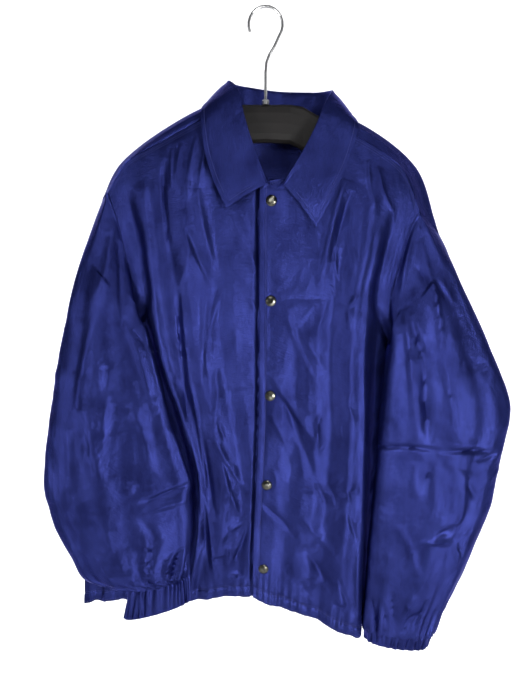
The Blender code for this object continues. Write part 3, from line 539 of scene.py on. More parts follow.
def fold_depths(folds, rows, columns):
    """How far each grid point moves out for the large folds, in millimetres."""
    up = np.linspace(0, 1, rows)[:, None]
    across = np.linspace(0, 1, columns)[None, :]
    depths = np.zeros((rows, columns))
    for fold in folds:
        along = np.clip((up - fold.start) / (fold.end - fold.start), 0, 1)
        middle = fold.foot + (fold.head - fold.foot) * along
        fade = np.clip(4 * (fold.end - up) / (fold.end - fold.start), 0, 1)
        inside = np.where(up < fold.start - 1e-6, 0.0, fade)
        away = (across - middle) / (fold.width / 2)
        section = np.where(np.abs(away) < 1, 0.5 + 0.5 * np.cos(np.pi * away), 0)
        depths += fold.depth * inside * section
    return depths


def crease_depths(creases, x, z):
    """How far the creases move the points at (x, z) out from the cloth, in millimetres."""
    depths = np.zeros(x.shape)
    t = np.linspace(0, 1, 13)
    for crease in creases:
        bend_x = 2 * crease.x2 - 0.5 * (crease.x1 + crease.x3)
        bend_z = 2 * crease.z2 - 0.5 * (crease.z1 + crease.z3)
        line_x = (1 - t) ** 2 * crease.x1 + 2 * t * (1 - t) * bend_x + t * t * crease.x3
        line_z = (1 - t) ** 2 * crease.z1 + 2 * t * (1 - t) * bend_z + t * t * crease.z3
        reach = 3 * crease.width
        near = ((x > line_x.min() - reach) & (x < line_x.max() + reach)
                & (z > line_z.min() - reach) & (z < line_z.max() + reach))
        if not near.any():
            continue
        away_x = x[near][:, None] - line_x[None, :-1]
        away_z = z[near][:, None] - line_z[None, :-1]
        step_x, step_z = np.diff(line_x), np.diff(line_z)
        share = (away_x * step_x + away_z * step_z) / (step_x**2 + step_z**2)
        share = np.clip(share, 0, 1)
        gap = np.hypot(away_x - share * step_x, away_z - share * step_z)
        nearest = np.argmin(gap, axis=1)
        rows = np.arange(len(nearest))
        side = np.sign(away_x * step_z - away_z * step_x)[rows, nearest]
        place = (nearest + share[rows, nearest]) / (len(t) - 1)
        distance = 2 * gap[rows, nearest] / crease.width * (1 + crease.skew * side)
        profile = np.exp(-2.2 * (np.sqrt(distance**2 + CREST**2) - CREST))
        depths[near] += CREASE_STRENGTH * crease.depth * profile * np.sin(np.pi * place) ** 0.6
    return depths


def lattice(ix, iy, iz, seed):
    """A fixed scattered value from -1 to 1 for each whole place."""
    mixed = (ix * 374761393 + iy * 668265263 + iz * 1440662683 + seed * 974634777) & 0xFFFFFFFF
    mixed = ((mixed ^ (mixed >> 13)) * 1274126177) & 0xFFFFFFFF
    return ((mixed ^ (mixed >> 16)) & 0xFFFFFF) / 0xFFFFFF * 2 - 1


def drift(points, sizes, seed):
    """A value from -1 to 1 that wanders smoothly from place to place."""
    scaled = points / np.asarray(sizes, dtype=float)
    cell = np.floor(scaled).astype(np.int64)
    t = scaled - cell
    t = t * t * t * (t * (6 * t - 15) + 10)
    total = np.zeros(points.shape[:-1])
    for dx in (0, 1):
        for dy in (0, 1):
            for dz in (0, 1):
                weight = ((t[..., 0] if dx else 1 - t[..., 0])
                          * (t[..., 1] if dy else 1 - t[..., 1])
                          * (t[..., 2] if dz else 1 - t[..., 2]))
                total += weight * lattice(cell[..., 0] + dx, cell[..., 1] + dy,
                                          cell[..., 2] + dz, seed)
    return total


def drift_along(distance, size, seed):
    """The same along one way only."""
    still = np.zeros_like(distance)
    return drift(np.stack([distance, still, still], axis=-1), (size, 1, 1), seed)


def crinkles(points, seed, strength=1.0):
    """Small creases of crisp nylon: soft waves, and ridges where the cloth has folded."""
    lean = points.copy()
    lean[..., 0] += 0.25 * points[..., 2] * drift(points, (160, 160, 260), seed + 9)
    lean[..., 0] += 18 * drift(points, (60, 60, 90), seed + 10)
    lean[..., 2] += 26 * drift(points, (55, 55, 70), seed + 11)
    soft = drift(lean, (58, 58, 130), seed + 1)
    sharp = 1 - 2 * np.sqrt(drift(lean, (30, 30, 66), seed + 2) ** 2 + 0.006)
    small = 1 - 2 * np.sqrt(drift(lean, (13, 13, 24), seed + 3) ** 2 + 0.01)
    fine = drift(lean, (6.5, 6.5, 11), seed + 4)
    busy = smooth_step(-0.35, 0.5, drift(points, (75, 75, 85), seed + 5))
    some = 0.35 + 0.65 * busy
    return strength * (1.4 * soft + some * (1.1 * sharp + 0.5 * small + 0.1 * fine))


def hem_relief(across, above, seed):
    """The hem's elastic channel: a rolled edge, a stitch line and the gathers above it."""
    fine = np.sin(2 * np.pi * across / HEM_GATHER_PITCH + 5 * drift_along(across, 45, seed))
    fine *= 0.65 + 0.35 * drift_along(across, 22, seed + 1)
    broad = drift_along(across, 24, seed + 2)
    roll = smooth_step(-1.0, 3.0, above) * (1 - smooth_step(HEM_CHANNEL - 4, HEM_CHANNEL, above))
    relief = HEM_GATHER * fine * np.exp(-np.abs(above - HEM_CHANNEL) / HEM_GATHER_REACH)
    relief += HEM_WAVE * broad * np.exp(-above / HEM_WAVE_REACH)
    return relief + 0.9 * roll - 1.0 * bell(above, HEM_CHANNEL, 1.9)


def waved_hem(dressed, across, above, seed):
    """Lets the hem's edge rise and fall a little."""
    wave = drift_along(across, 12, seed + 30)
    dressed[..., 2] += HEM_WAVER * wave * np.exp(-above / 9)
    return dressed


def add_piece(name, mesh, finish):
    """The mesh in its finish, as a piece of the scene."""
    mesh.materials.append(finish)
    piece = bpy.data.objects.new(name, mesh)
    bpy.context.collection.objects.link(piece)
    return piece


def shell_piece(name, outer, wall, finish, round_shape=False):
    """A closed sheet of cloth between the outer grid and one set in from it."""
    rows, columns = outer.shape[:2]
    inner = outer - wall * grid_normals(outer, round_shape)
    points = np.concatenate([outer.reshape(-1, 3), inner.reshape(-1, 3)]) * MM
    below = rows * columns
    number = np.arange(below).reshape(rows, columns)
    right = np.roll(number, -1, axis=1) if round_shape else number[:, 1:]
    here = number if round_shape else number[:, :-1]
    quads = np.stack([here[:-1], right[:-1], right[1:], here[1:]], axis=-1).reshape(-1, 4)
    faces = [quads, below + quads[:, ::-1]]
    for row, turn in ((0, True), (rows - 1, False)):
        rim = np.stack([here[row], right[row], below + right[row], below + here[row]], axis=-1)
        faces.append(rim[:, ::-1] if turn else rim)
    if not round_shape:
        for column, turn in ((0, False), (columns - 1, True)):
            low, high = number[:-1, column], number[1:, column]
            rim = np.stack([low, high, below + high, below + low], axis=-1)
            faces.append(rim[:, ::-1] if turn else rim)
    faces = np.concatenate(faces)
    mesh = bpy.data.meshes.new(name)
    mesh.from_pydata(points.tolist(), [], faces.tolist())
    lay_cloth_map(mesh, outer, faces, round_shape)
    mesh.shade_smooth()
    mesh.set_sharp_from_angle(angle=math.radians(60))
    return add_piece(name, mesh, finish)


def lay_cloth_map(mesh, outer, faces, round_shape):
    """The sheet's flat lie, in metres, as its UV map. A tube's last column wraps over."""
    rows, columns = outer.shape[:2]
    width, _, height, _ = distances(outer)
    flat_u = np.concatenate([width.reshape(-1)] * 2) * MM
    flat_v = np.concatenate([height.reshape(-1)] * 2) * MM
    corners = faces.reshape(-1)
    places = np.stack([flat_u[corners], flat_v[corners]], axis=1)
    if round_shape:
        wrapped = np.repeat(np.abs(faces % columns).max(axis=1)
                            - (faces % columns).min(axis=1) > 1, 4)
        whole = wrapped & (corners % columns == 0)
        extra = np.linalg.norm(outer[:, 0] - outer[:, -1], axis=1)
        around = (width[:, -1] + extra) * MM
        places[whole, 0] = around[(corners[whole] % (rows * columns)) // columns]
    mesh.uv_layers.new(name="cloth").data.foreach_set("uv", places.reshape(-1))


def stitch_row(points, normals):
    """The corners and faces of a row of stitches laid along points on the cloth."""
    along = run_length(points)
    corners, faces = [], []
    half = STITCH_WIDTH / 2
    ring = [(1, 0), (0, 1), (-1, 0), (0, -1)]
    for middle in np.arange(STITCH_PITCH, along[-1] - STITCH_PITCH / 2, STITCH_PITCH):
        ends = [np.array([np.interp(middle + side * STITCH_LENGTH / 2, along, points[:, axis])
                          for axis in range(3)]) for side in (-1, 1)]
        up = unit(np.array([np.interp(middle, along, normals[:, axis]) for axis in range(3)]))
        beside = np.cross(up, unit(ends[1] - ends[0]))
        start = len(corners)
        corners.append(ends[0] - STITCH_SINK * up)
        for share in (0.25, 0.75):
            centre = ends[0] + share * (ends[1] - ends[0]) + STITCH_RISE * up
            corners += [centre + half * (a * beside + b * up) for a, b in ring]
        corners.append(ends[1] - STITCH_SINK * up)
        for side in range(4):
            beyond = (side + 1) % 4
            faces.append([start, start + 1 + beyond, start + 1 + side])
            faces.append([start + 1 + side, start + 1 + beyond, start + 5 + beyond,
                          start + 5 + side])
            faces.append([start + 5 + side, start + 5 + beyond, start + 9])
    return corners, faces


def stitch_piece(name, rows, finish):
    """One piece of thread from several rows of stitches."""
    corners, faces = [], []
    for points, normals in rows:
        more, cells = stitch_row(points, normals)
        faces += [[corner + len(corners) for corner in cell] for cell in cells]
        corners += more
    mesh = bpy.data.meshes.new(name)
    mesh.from_pydata([tuple(corner) for corner in np.array(corners) * MM], [], faces)
    mesh.shade_smooth()
    return add_piece(name, mesh, finish)


class Field:
    """A value inside a finish that takes part in plain arithmetic."""

    def __init__(self, finish, socket):
        self.finish = finish
        self.socket = socket

    def combined(self, operation, first, second=0.0):
        return self.finish.node("ShaderNodeMath", {0: first, 1: second}, operation=operation)

    def __add__(self, other):
        return self.combined("ADD", self, other)

    def __radd__(self, other):
        return self.combined("ADD", other, self)

    def __sub__(self, other):
        return self.combined("SUBTRACT", self, other)

    def __rsub__(self, other):
        return self.combined("SUBTRACT", other, self)

    def __mul__(self, other):
        return self.combined("MULTIPLY", self, other)

    def __rmul__(self, other):
        return self.combined("MULTIPLY", other, self)

    def wave(self, period):
        """Swings from -1 to 1 once in each period."""
        return self.combined("SINE", self * (2 * math.pi / period))

    def spots(self, size, detail=2.0, roughness=0.5):
        """Soft noise from 0 to 1 whose patches are about this size, in metres."""
        return self.finish.node("ShaderNodeTexNoise", {
            "Vector": self, "Scale": 1 / size, "Detail": detail, "Roughness": roughness})

    def stretched(self, x, y, z):
        return self.finish.node("ShaderNodeMapping", {"Vector": self, "Scale": (x, y, z)})


class Finish:
    """A material with a Principled shader, and the places that its patterns read."""

    def __init__(self, name, colour, roughness, metallic=0.0, **even):
        self.material = bpy.data.materials.new(name)
        self.material.use_nodes = True
        self.tree = self.material.node_tree
        self.shader = self.tree.nodes["Principled BSDF"]
        self.set(Base_Color=(*colour, 1.0), Roughness=roughness, Metallic=metallic, **even)

    def feed(self, socket, value):
        """Links a socket to a value from another node, or sets it to a plain one."""
        if isinstance(value, Field):
            self.tree.links.new(value.socket, socket)
        else:
            socket.default_value = value

    def node(self, kind, sockets, out=0, stops=(), **settings):
        """One output of a new node, whose settings come before its sockets."""
        node = self.tree.nodes.new(kind)
        for setting, value in settings.items():
            setattr(node, setting, value)
        for number, (place, colour) in enumerate(stops):
            node.color_ramp.elements[number].position = place
            node.color_ramp.elements[number].color = (*colour, 1.0)
        for name, value in sockets.items():
            self.feed(node.inputs[name], value)
        return Field(self, node.outputs[out])

    def place(self):
        return self.node("ShaderNodeTexCoord", {}, "Object")

    def cloth_place(self):
        return self.node("ShaderNodeUVMap", {}, "UV", uv_map="cloth")

    def part_of(self, place, axis):
        return self.node("ShaderNodeSeparateXYZ", {0: place}, axis)

    def colours(self, share, low, high):
        """A ramp between two (place, colour) stops over a value from 0 to 1."""
        return self.node("ShaderNodeValToRGB", {"Fac": share}, "Color", stops=(low, high))

    def set(self, **values):
        for name, value in values.items():
            self.feed(self.shader.inputs[name.replace("_", " ")], value)

    def raise_surface(self, height, distance, strength):
        """Fine relief this high, in metres."""
        self.set(Normal=self.node("ShaderNodeBump", {
            "Height": height, "Distance": distance, "Strength": strength}, "Normal"))


def satin_finish(name, deep, bright, metallic, roughness):
    """Woven nylon satin: fine floats across the cloth, a tinted gloss, painted sheen streaks in
    its colour and tiny creases.
    """
    finish = Finish(name, deep, roughness, metallic, Specular_IOR_Level=0.3,
                    Specular_Tint=(0.22, 0.26, 0.75, 1.0))
    place = finish.place()
    cloth = finish.cloth_place()
    slub = cloth.stretched(1.0, 14.0, 1.0).spots(0.012, detail=3.0)
    cloudy = place.spots(0.055, detail=3.0)
    # Painted sheen: long streaks that lighten and darken the base colour where the satin would
    # shine. The slub and the cloudy patches are the cloth's own uneven tone.
    sheen_streaks = place.stretched(1.0, 1.0, 0.4).spots(0.017, detail=5.0, roughness=0.62)
    tone_and_sheen = slub * 0.15 + cloudy * 0.35 + sheen_streaks * 0.5
    # The base colour runs from the deep to the bright shade over the cloth's own tone and the
    # painted sheen.
    finish.set(Base_Color=finish.colours(tone_and_sheen, (0.36, deep), (0.62, bright)))
    finish.set(Roughness=roughness - 0.05 + 0.1 * cloudy + 0.06 * (slub - 0.5))
    weave = finish.part_of(cloth, 0).wave(0.0009) * finish.part_of(cloth, 1).wave(0.0006)
    rows = cloth.stretched(1.0, 5.0, 1.0).spots(0.009, detail=4.0, roughness=0.6)
    pucker = place.spots(0.014, detail=3.0, roughness=0.55)
    finish.raise_surface(weave * 0.04 + rows * 0.6 + pucker * 1.25, 0.0017, 0.5)
    return finish.material


def thread_finish():
    """Twisted thread, a little lighter than the cloth."""
    finish = Finish("thread", (0.02, 0.03, 0.19), 0.5, Sheen_Weight=0.2)
    finish.raise_surface(finish.place().spots(0.0006), 0.0002, 0.6)
    return finish.material


def snap_finish():
    """Dark antique metal, brighter where it is rubbed."""
    finish = Finish("snap_antique", (0.1, 0.1, 0.09), 0.2, 1.0)
    rubbed = finish.place().spots(0.004, detail=4.0)
    finish.set(Base_Color=finish.colours(rubbed, (0.35, (0.05, 0.05, 0.047)),
                                         (0.7, (0.2, 0.195, 0.16))))
    finish.set(Roughness=0.12 + 0.16 * rubbed)
    finish.raise_surface(finish.place().spots(0.0012), 0.0001, 0.25)
    return finish.material


def plastic_finish():
    """Moulded black plastic with a fine matt grain."""
    finish = Finish("hanger_black", (0.006, 0.005, 0.005), 0.5, Specular_IOR_Level=0.3)
    place = finish.place()
    dust = place.spots(0.03, detail=4.0)
    finish.set(Base_Color=finish.colours(dust, (0.3, (0.005, 0.0042, 0.0042)),
                                         (0.75, (0.011, 0.009, 0.009))))
    finish.set(Roughness=0.42 + 0.2 * dust)
    finish.raise_surface(place.spots(0.0011), 0.0002, 0.5)
    return finish.material


def steel_finish():
    """Plated wire with faint drawing marks along it."""
    finish = Finish("hook_plated", (0.6, 0.6, 0.6), 0.25, 1.0)
    drawn = finish.place().stretched(1.0, 1.0, 0.05).spots(0.0015, detail=3.0)
    finish.set(Roughness=0.18 + 0.2 * drawn)
    finish.raise_surface(drawn, 0.0001, 0.3)
    return finish.material


def stage_finish():
    """Pale paper that glows, painted light: dim on the floor in front, bright where it hangs
    behind the jacket.
    """
    finish = Finish("pale_paper", (0.85, 0.85, 0.86), 0.9, Emission_Strength=STAGE_GLOW)
    behind = finish.part_of(finish.place(), 1) * 2.5
    finish.set(Emission_Color=finish.colours(behind, (0.0, (0.03, 0.03, 0.03)),
                                             (1.0, (1.0, 1.0, 1.0))))
    return finish.material


def front_guides(table):
    """The four guide points of each row of a front."""
    guides = []
    for row in table:
        turn_drop = row.ridge_drop + TURN_SHARE * (row.side_drop - row.ridge_drop)
        guides.append([
            (row.edge_x, row.edge_y, row.level),
            (row.ridge_x, row.ridge_y, row.level + row.ridge_drop),
            (row.turn_x, row.turn_y, row.level + turn_drop),
            (row.side_x, row.side_y, row.level + row.side_drop),
        ])
    return np.array(guides, dtype=float)


def back_guides():
    """The back's rows up to the pits, then the yoke's up and over to the shoulder seam."""
    guides = []
    for number, (level, depth) in enumerate(zip(BACK_LEVELS, BACK_DEPTHS)):
        right = front_guides(FRONT_RIGHT_ROWS)[number, -1] + [0, SIDE_SEAM_STEP, 0]
        left = front_guides(FRONT_LEFT_ROWS)[number, -1] + [0, SIDE_SEAM_STEP, 0]
        section = []
        for place in BACK_PLACES:
            from_middle = abs(2 * place - 1)
            side = right if place < 0.5 else left
            section.append((right[0] + (left[0] - right[0]) * place,
                            depth + (side[1] - depth) * from_middle ** 3,
                            level + (side[2] - level) * from_middle))
        guides.append(section)
    yoke = np.array(BACK_ROWS_ABOVE, dtype=float)
    behind, top, seam = yoke[-3], yoke[-2], yoke[-1]
    over_back = behind + (top - behind) * [0.5, 0.3, 0.74]
    over_front = 0.5 * (top + seam)
    over_front[ON_HANGER, 2] += SHOULDER_ROUNDING
    above = np.array([*yoke[:-2], over_back, top, over_front, seam])
    return np.concatenate([np.array(guides), above])


def dressed_front(table, folds, creases, left_side, seed):
    """A front with its folds, creases, hem and placket on a fine grid."""
    grid = patch_through(front_guides(table), FRONT_PLACES, *FRONT_GRID)
    normals = grid_normals(grid) * (1 if left_side else -1)
    edge, side, foot, head = distances(grid)
    relief = fold_depths(folds, *FRONT_GRID)
    near_seam = smooth_step(0, 8, side) * smooth_step(0, 6, head)
    relief += near_seam * crease_depths(creases, grid[..., 0], grid[..., 2])
    fade = smooth_step(0, 14, side) * smooth_step(0, 14, head)
    calm = 0.35 + 0.65 * smooth_step(0, 60, edge)
    relief += fade * calm * crinkles(grid, seed, 0.8)
    relief += hem_relief(edge, foot, seed + 20)
    hollow = HOLLOW_LEFT if left_side else HOLLOW_RIGHT
    hollow = hollow * (0.85 + 0.3 * drift(grid, (40, 40, 90), seed + 15))
    relief -= hollow * bell(side, HOLLOW_MIDDLE, HOLLOW_WIDTH) * smooth_step(30, 120, head)
    if left_side:
        relief += 0.3 * (1 - smooth_step(2, 7, edge)) - 0.6 * bell(edge, PLACKET_ROW, 1.6)
    else:
        lap = FRONT_LEFT_ROWS
        lap_x = np.interp(grid[..., 2], [row.level for row in lap], [row.edge_x for row in lap])
        relief -= LAP_DEPTH * bell(grid[..., 0] - lap_x, LAP_INSET, LAP_WIDTH)
    dressed = waved_hem(grid + relief[..., None] * normals, edge, foot, seed)
    return dressed if left_side else dressed[:, ::-1]


def laid_on_shoulder_seams(grid):
    """The back's grid with its last row laid beside the heads of the two fronts."""
    for table in (FRONT_LEFT_ROWS, FRONT_RIGHT_ROWS):
        seam = patch_through(front_guides(table), FRONT_PLACES, 20, 80)[-1]
        outward = math.copysign(1, seam[-1, 0])
        along = unit(np.gradient(seam[:, [0, 2]], axis=0))
        edge = seam.copy()
        edge[:, 0] -= outward * SHOULDER_SEAM_STEP * along[:, 1]
        edge[:, 2] += outward * SHOULDER_SEAM_STEP * along[:, 0]
        reach = outward * grid[-1, :, 0]
        on_seam = reach > outward * seam[0, 0] - 1
        for axis in (1, 2):
            laid = np.interp(reach, outward * edge[:, 0], edge[:, axis])
            grid[-1, :, axis] = np.where(on_seam, laid, grid[-1, :, axis])
    return grid


def dressed_back(seed):
    """The back with its folds, creases and hem, calm where it meets the seams."""
    grid = laid_on_shoulder_seams(patch_through(back_guides(), BACK_PLACES, *BACK_GRID))
    first, last, foot, head = distances(grid)
    normals = -grid_normals(grid)
    relief = fold_depths(BACK_FOLDS, *BACK_GRID)
    behind = smooth_step(0.2, 0.7, normals[..., 1])
    relief += BACK_SHARE * behind * crease_depths(BACK_CREASES, grid[..., 0], grid[..., 2])
    fade = smooth_step(0, 14, first) * smooth_step(0, 14, last) * smooth_step(8, 120, head)
    relief += fade * crinkles(grid, seed)
    relief += 0.25 * smooth_step(0, 10, head) * crinkles(grid, seed + 3)
    relief += hem_relief(first, foot, seed + 20)
    return waved_hem(grid + relief[..., None] * normals, first, foot, seed)[:, ::-1]


def kept_clear(grid, other, distance, deepest):
    """The grid with each point moved out where it lies too near another grid."""
    rows, columns = other.shape[:2]
    number = np.arange(rows * columns).reshape(rows, columns)
    quads = np.stack([number[:-1, :-1], number[:-1, 1:], number[1:, 1:], number[1:, :-1]], axis=-1)
    tree = BVHTree.FromPolygons([Vector(point) for point in other.reshape(-1, 3)],
                                quads.reshape(-1, 4).tolist())
    clear = grid.copy()
    for place in np.ndindex(*grid.shape[:2]):
        point = Vector(grid[place])
        nearest, normal, _, reach = tree.find_nearest(point, 2 * deepest)
        if nearest is None:
            continue
        height = (point - nearest).dot(normal)
        if height < distance and (reach < distance or height < 0 and reach < deepest):
            clear[place] = point + normal * (distance - height)
    return clear


def ring_points(row, count):
    """A flattened ring, with its points turned towards the back near its inner end."""
    turn = full_turn(count)
    turn = turn - PIT_TURN * (0.5 + 0.5 * np.cos(turn))
    half = 0.5 * np.array([row.outer_x - row.inner_x, 0, row.outer_z - row.inner_z])
    middle = 0.5 * np.array([row.outer_x + row.inner_x, 2 * row.middle_y,
                             row.outer_z + row.inner_z])
    forward = np.array([0, -row.half_depth, 0])
    rounder = np.sign(np.sin(turn)) * np.abs(np.sin(turn)) ** 0.8
    return middle - np.cos(turn)[:, None] * half + rounder[:, None] * forward


def armhole_ring(table, left_side, count):
    """The seam's loop: from the pit up the front, over the shoulder, down the back."""
    front = front_guides(table)[PIT_ROW:, 3]
    back = back_guides()[PIT_ROW:, -1 if left_side else 0]
    over = np.concatenate([front[-1:], back[-2:BACK_TOP_ROW - 1:-1]])
    twentieth = count // 20
    up = even_points(front, 8 * twentieth + 1)
    across = even_points(over, 2 * twentieth + 1)
    down = even_points(back[BACK_TOP_ROW::-1], 10 * twentieth + 1)
    return np.concatenate([up[:-1], across[:-1], down[:-1]])


def gather_wave(turn, waves, seed):
    """Uneven gathers round a cuff, the same for the sleeve's end and the cuff."""
    place = np.stack([np.cos(turn), np.sin(turn), np.zeros_like(turn)], axis=-1) * 10
    wander = drift(place, (4, 4, 4), seed)
    size = 0.75 + 0.45 * drift(place, (2, 2, 2), seed + 1)
    return size * np.sin(waves * turn + 3.0 * wander)


def sleeve_grid(table, front_table, left_side):
    """A sleeve's smooth tube, from the armhole's seam to the cuff."""
    rows, count = SLEEVE_GRID
    seam = armhole_ring(front_table, left_side, count)
    rings = [ring_points(row, count) for row in table]
    side = 1 if left_side else -1
    outward = rings[0] - seam
    length = np.linalg.norm(outward, axis=1)
    outward[:, 0] = side * np.maximum(side * outward[:, 0], 0.6 * length)
    pit = np.clip(1.5 * np.cos(full_turn(count)), 0, 1)[:, None]
    first = seam + ARMHOLE_SEAM_STEP * unit(outward) - PIT_STEP * pit * [0, 1, 0]
    second = 0.5 * (first + rings[0]) - PIT_FORWARD * pit * [0, 1, 0]
    return lines_through(np.array([first, second] + rings), rows)


def dressed_sleeve(table, front_table, creases, left_side, seed, front):
    """A sleeve with its folds, creases and gathers, kept clear of the front."""
    grid = sleeve_grid(table, front_table, left_side)
    normals = grid_normals(grid, True) * (-1 if left_side else 1)
    _, _, from_head, from_cuff = distances(grid)
    relief = -fold_depths(SLEEVE_FOLDS, *SLEEVE_GRID)
    facing = smooth_step(0.05, 0.6, -normals[..., 1])
    hidden = smooth_step(0.05, 0.6, normals[..., 1])
    depths = crease_depths(creases, grid[..., 0], grid[..., 2])
    middle = 0.5 * (table[3].inner_x + table[3].outer_x)
    behind = crease_depths(creases, 2 * middle - grid[..., 0], grid[..., 2] + 12)
    relief += smooth_step(0, 10, from_head) * (facing * depths + hidden * behind)
    relief += smooth_step(0, 22, from_head) * crinkles(grid, seed, 0.9)
    angle = np.broadcast_to(full_turn(grid.shape[1]), grid.shape[:2])
    gather = gather_wave(angle, SLEEVE_GATHERS, seed + 40)
    fan = gather_wave(angle, SLEEVE_GATHERS // 3, seed + 50)
    late = smooth_step(0, 22, from_cuff)
    relief += GATHER_DEPTH * gather * np.exp(-from_cuff / GATHER_REACH)
    relief += FAN_DEPTH * late * fan * np.exp(-from_cuff / FAN_REACH)
    puff = (PUFF_LEFT if left_side else PUFF_RIGHT) * (1 + 0.1 * gather)
    puff = puff * bell(from_cuff, PUFF_MIDDLE, PUFF_WIDTH)
    downward = unit(grid[-1] - grid[-8])
    dressed = grid + (relief + 0.25 * puff)[..., None] * normals + puff[..., None] * downward
    dressed = dressed[:, ::-1] if left_side else dressed
    for _ in range(3):
        dressed = kept_clear(dressed, front, CLOTH_WALL + SPARE_GAP, SLEEVE_REACH)
    return dressed


def dressed_cuff(top, foot, left_side, seed):
    """A cuff whose gathers start as the sleeve's own and change towards its foot."""
    rows, count = CUFF_GRID
    rings = []
    for share in np.linspace(0, 1, rows):
        row = SleeveRow(*(a + (b - a) * share for a, b in zip(top, foot)))
        rings.append(ring_points(row, count))
    grid = np.array(rings)
    grid[0] -= CUFF_START * unit(grid[-1] - grid[0])
    normals = grid_normals(grid, True) * (-1 if left_side else 1)
    share = np.linspace(0, 1, rows)[:, None]
    wave = gather_wave(full_turn(count), SLEEVE_GATHERS, seed + 40)[None, :]
    late = gather_wave(full_turn(count), SLEEVE_GATHERS + 5, seed + 60)[None, :]
    relief = GATHER_DEPTH * (wave * (1 - share) + late * share)
    relief += CUFF_SWELL * np.sin(np.pi * share) ** 0.5
    relief[0] -= CUFF_TUCK
    grid = grid + relief[..., None] * normals
    grid[-1, :, 2] += 1.6 * late[0]
    return grid[:, ::-1] if left_side else grid


def dressed_collar():
    """The stand rises from the neck seam, rolls over and falls as the leaf."""
    rows, columns = COLLAR_GRID
    lines = lines_through(np.array(COLLAR_STATIONS, dtype=float), columns)
    seam, roll, edge = lines[:, 0], lines[:, 1], lines[:, 2]
    outward = unit((edge - seam) * [1, 1, 0])
    rise = unit(roll - seam)
    top = roll + COLLAR_ROLL_RADIUS * outward
    across = np.array([
        seam + 0.4 * rise,
        seam + 0.5 * (roll - seam),
        roll - 0.7 * COLLAR_ROLL_RADIUS * rise,
        top + COLLAR_ROLL_RADIUS * rise * 0.5,
        top + COLLAR_ROLL_RADIUS * outward - 0.7 * COLLAR_ROLL_RADIUS * rise,
        0.5 * (top + edge) + 2.5 * outward,
        edge,
    ])
    spacing = np.concatenate([np.linspace(0, 4, rows // 2, endpoint=False),
                              np.linspace(4, 6, rows - rows // 2)])
    grid = curve_through(np.arange(len(across)), across, spacing)
    first, last, _, head = distances(grid)
    border = np.minimum(np.minimum(first, last), head)
    leaf = smooth_step(4.0, 4.6, np.broadcast_to(spacing[:, None], grid.shape[:2]))
    relief = 0.5 - 0.7 * bell(border, COLLAR_ROW, 1.5) - 0.5 * (1 - smooth_step(0, 3, border))
    relief += 0.8 * drift(grid, (60, 60, 60), 71) + 0.35 * drift(grid, (22, 22, 22), 72)
    return grid + (leaf * relief)[..., None] * grid_normals(grid)


def points_at(distance, lines, normals, measured):
    """Where each line of points comes to one distance, and the cloth's normals there."""
    return tuple(np.array([[np.interp(distance, along, line[:, axis]) for axis in range(3)]
                           for line, along in zip(field, measured)])
                 for field in (lines, normals))


def row_at(grid, distance, above):
    """The points of a grid that lie at one distance above its foot, column by column."""
    normals = grid_normals(grid)
    return points_at(distance, grid.transpose(1, 0, 2), normals.transpose(1, 0, 2), above.T)


def column_at(grid, distance, across, rows=slice(None)):
    """The points that lie at one distance from a grid's first column, row by row."""
    return points_at(distance, grid[rows], grid_normals(grid)[rows], across[rows])


satin = satin_finish("satin_nylon", (0.0115, 0.0155, 0.09), (0.027, 0.036, 0.185), 0.68, 0.24)
thread = thread_finish()

front_left = dressed_front(FRONT_LEFT_ROWS, FRONT_LEFT_FOLDS, FRONT_LEFT_CREASES, True, 11)
front_right = dressed_front(FRONT_RIGHT_ROWS, FRONT_RIGHT_FOLDS, FRONT_RIGHT_CREASES, False, 11)
back = dressed_back(31)
sleeve_left = dressed_sleeve(SLEEVE_LEFT_ROWS, FRONT_LEFT_ROWS, SLEEVE_LEFT_CREASES, True, 51,
                             front_left)
sleeve_right = dressed_sleeve(SLEEVE_RIGHT_ROWS, FRONT_RIGHT_ROWS, SLEEVE_RIGHT_CREASES, False,
                              61, front_right)
cuff_left = dressed_cuff(SLEEVE_LEFT_ROWS[-1], CUFF_LEFT_FOOT, True, 51)
cuff_right = dressed_cuff(SLEEVE_RIGHT_ROWS[-1], CUFF_RIGHT_FOOT, False, 61)
collar = kept_clear(dressed_collar(), back, COLLAR_WALL + SPARE_GAP, COLLAR_REACH)

# Each sheet: the node it stands for, its grid, its wall and whether it is a tube.
CLOTH = [
    ("front_left", front_left, CLOTH_WALL, False),
    ("front_right", front_right, CLOTH_WALL, False),
    ("back", back, CLOTH_WALL, False),
    ("sleeve_left", sleeve_left, CLOTH_WALL, True),
    ("sleeve_right", sleeve_right, CLOTH_WALL, True),
    ("cuff_left", cuff_left, CLOTH_WALL, True),
    ("cuff_right", cuff_right, CLOTH_WALL, True),
    ("collar", collar, COLLAR_WALL, False),
]
for name, grid, wall, round_shape in CLOTH:
    piece = shell_piece(name + "_cloth", grid, wall, satin, round_shape)
    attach(piece, "root")
    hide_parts(name)

# Stitches along the hems, the lapping edge, the shoulder seams and the collar's leaf.
stitches = {"front_left": [], "front_right": [], "back": [], "collar": []}
for name, grid in (("front_left", front_left), ("front_right", front_right), ("back", back)):
    above = distances(grid)[2]
    stitches[name] += [row_at(grid, height, above) for height in HEM_ROWS]
stitches["front_left"].append(column_at(front_left, PLACKET_ROW, distances(front_left)[0]))
for offset in SEAM_ROWS:
    for name, grid in (("front_left", front_left), ("front_right", front_right)):
        head = distances(grid)[3][::-1]
        stitches[name].append(row_at(grid[::-1], offset, head))
leaf = collar[COLLAR_GRID[0] // 2:]
first, last, _, head = distances(leaf)
points, ups = row_at(leaf[::-1], COLLAR_ROW, head[::-1])
stitches["collar"].append((points[8:-8], -ups[8:-8]))
stitches["collar"].append(column_at(leaf, COLLAR_ROW, first, slice(6, -2)))
points, ups = column_at(leaf[:, ::-1], COLLAR_ROW, last[:, ::-1], slice(6, -2))
stitches["collar"].append((points, -ups))
threads = {}
for name, lines in stitches.items():
    piece = stitch_piece(name + "_stitches", lines, thread)
    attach(piece, "root")
    threads[name] = piece

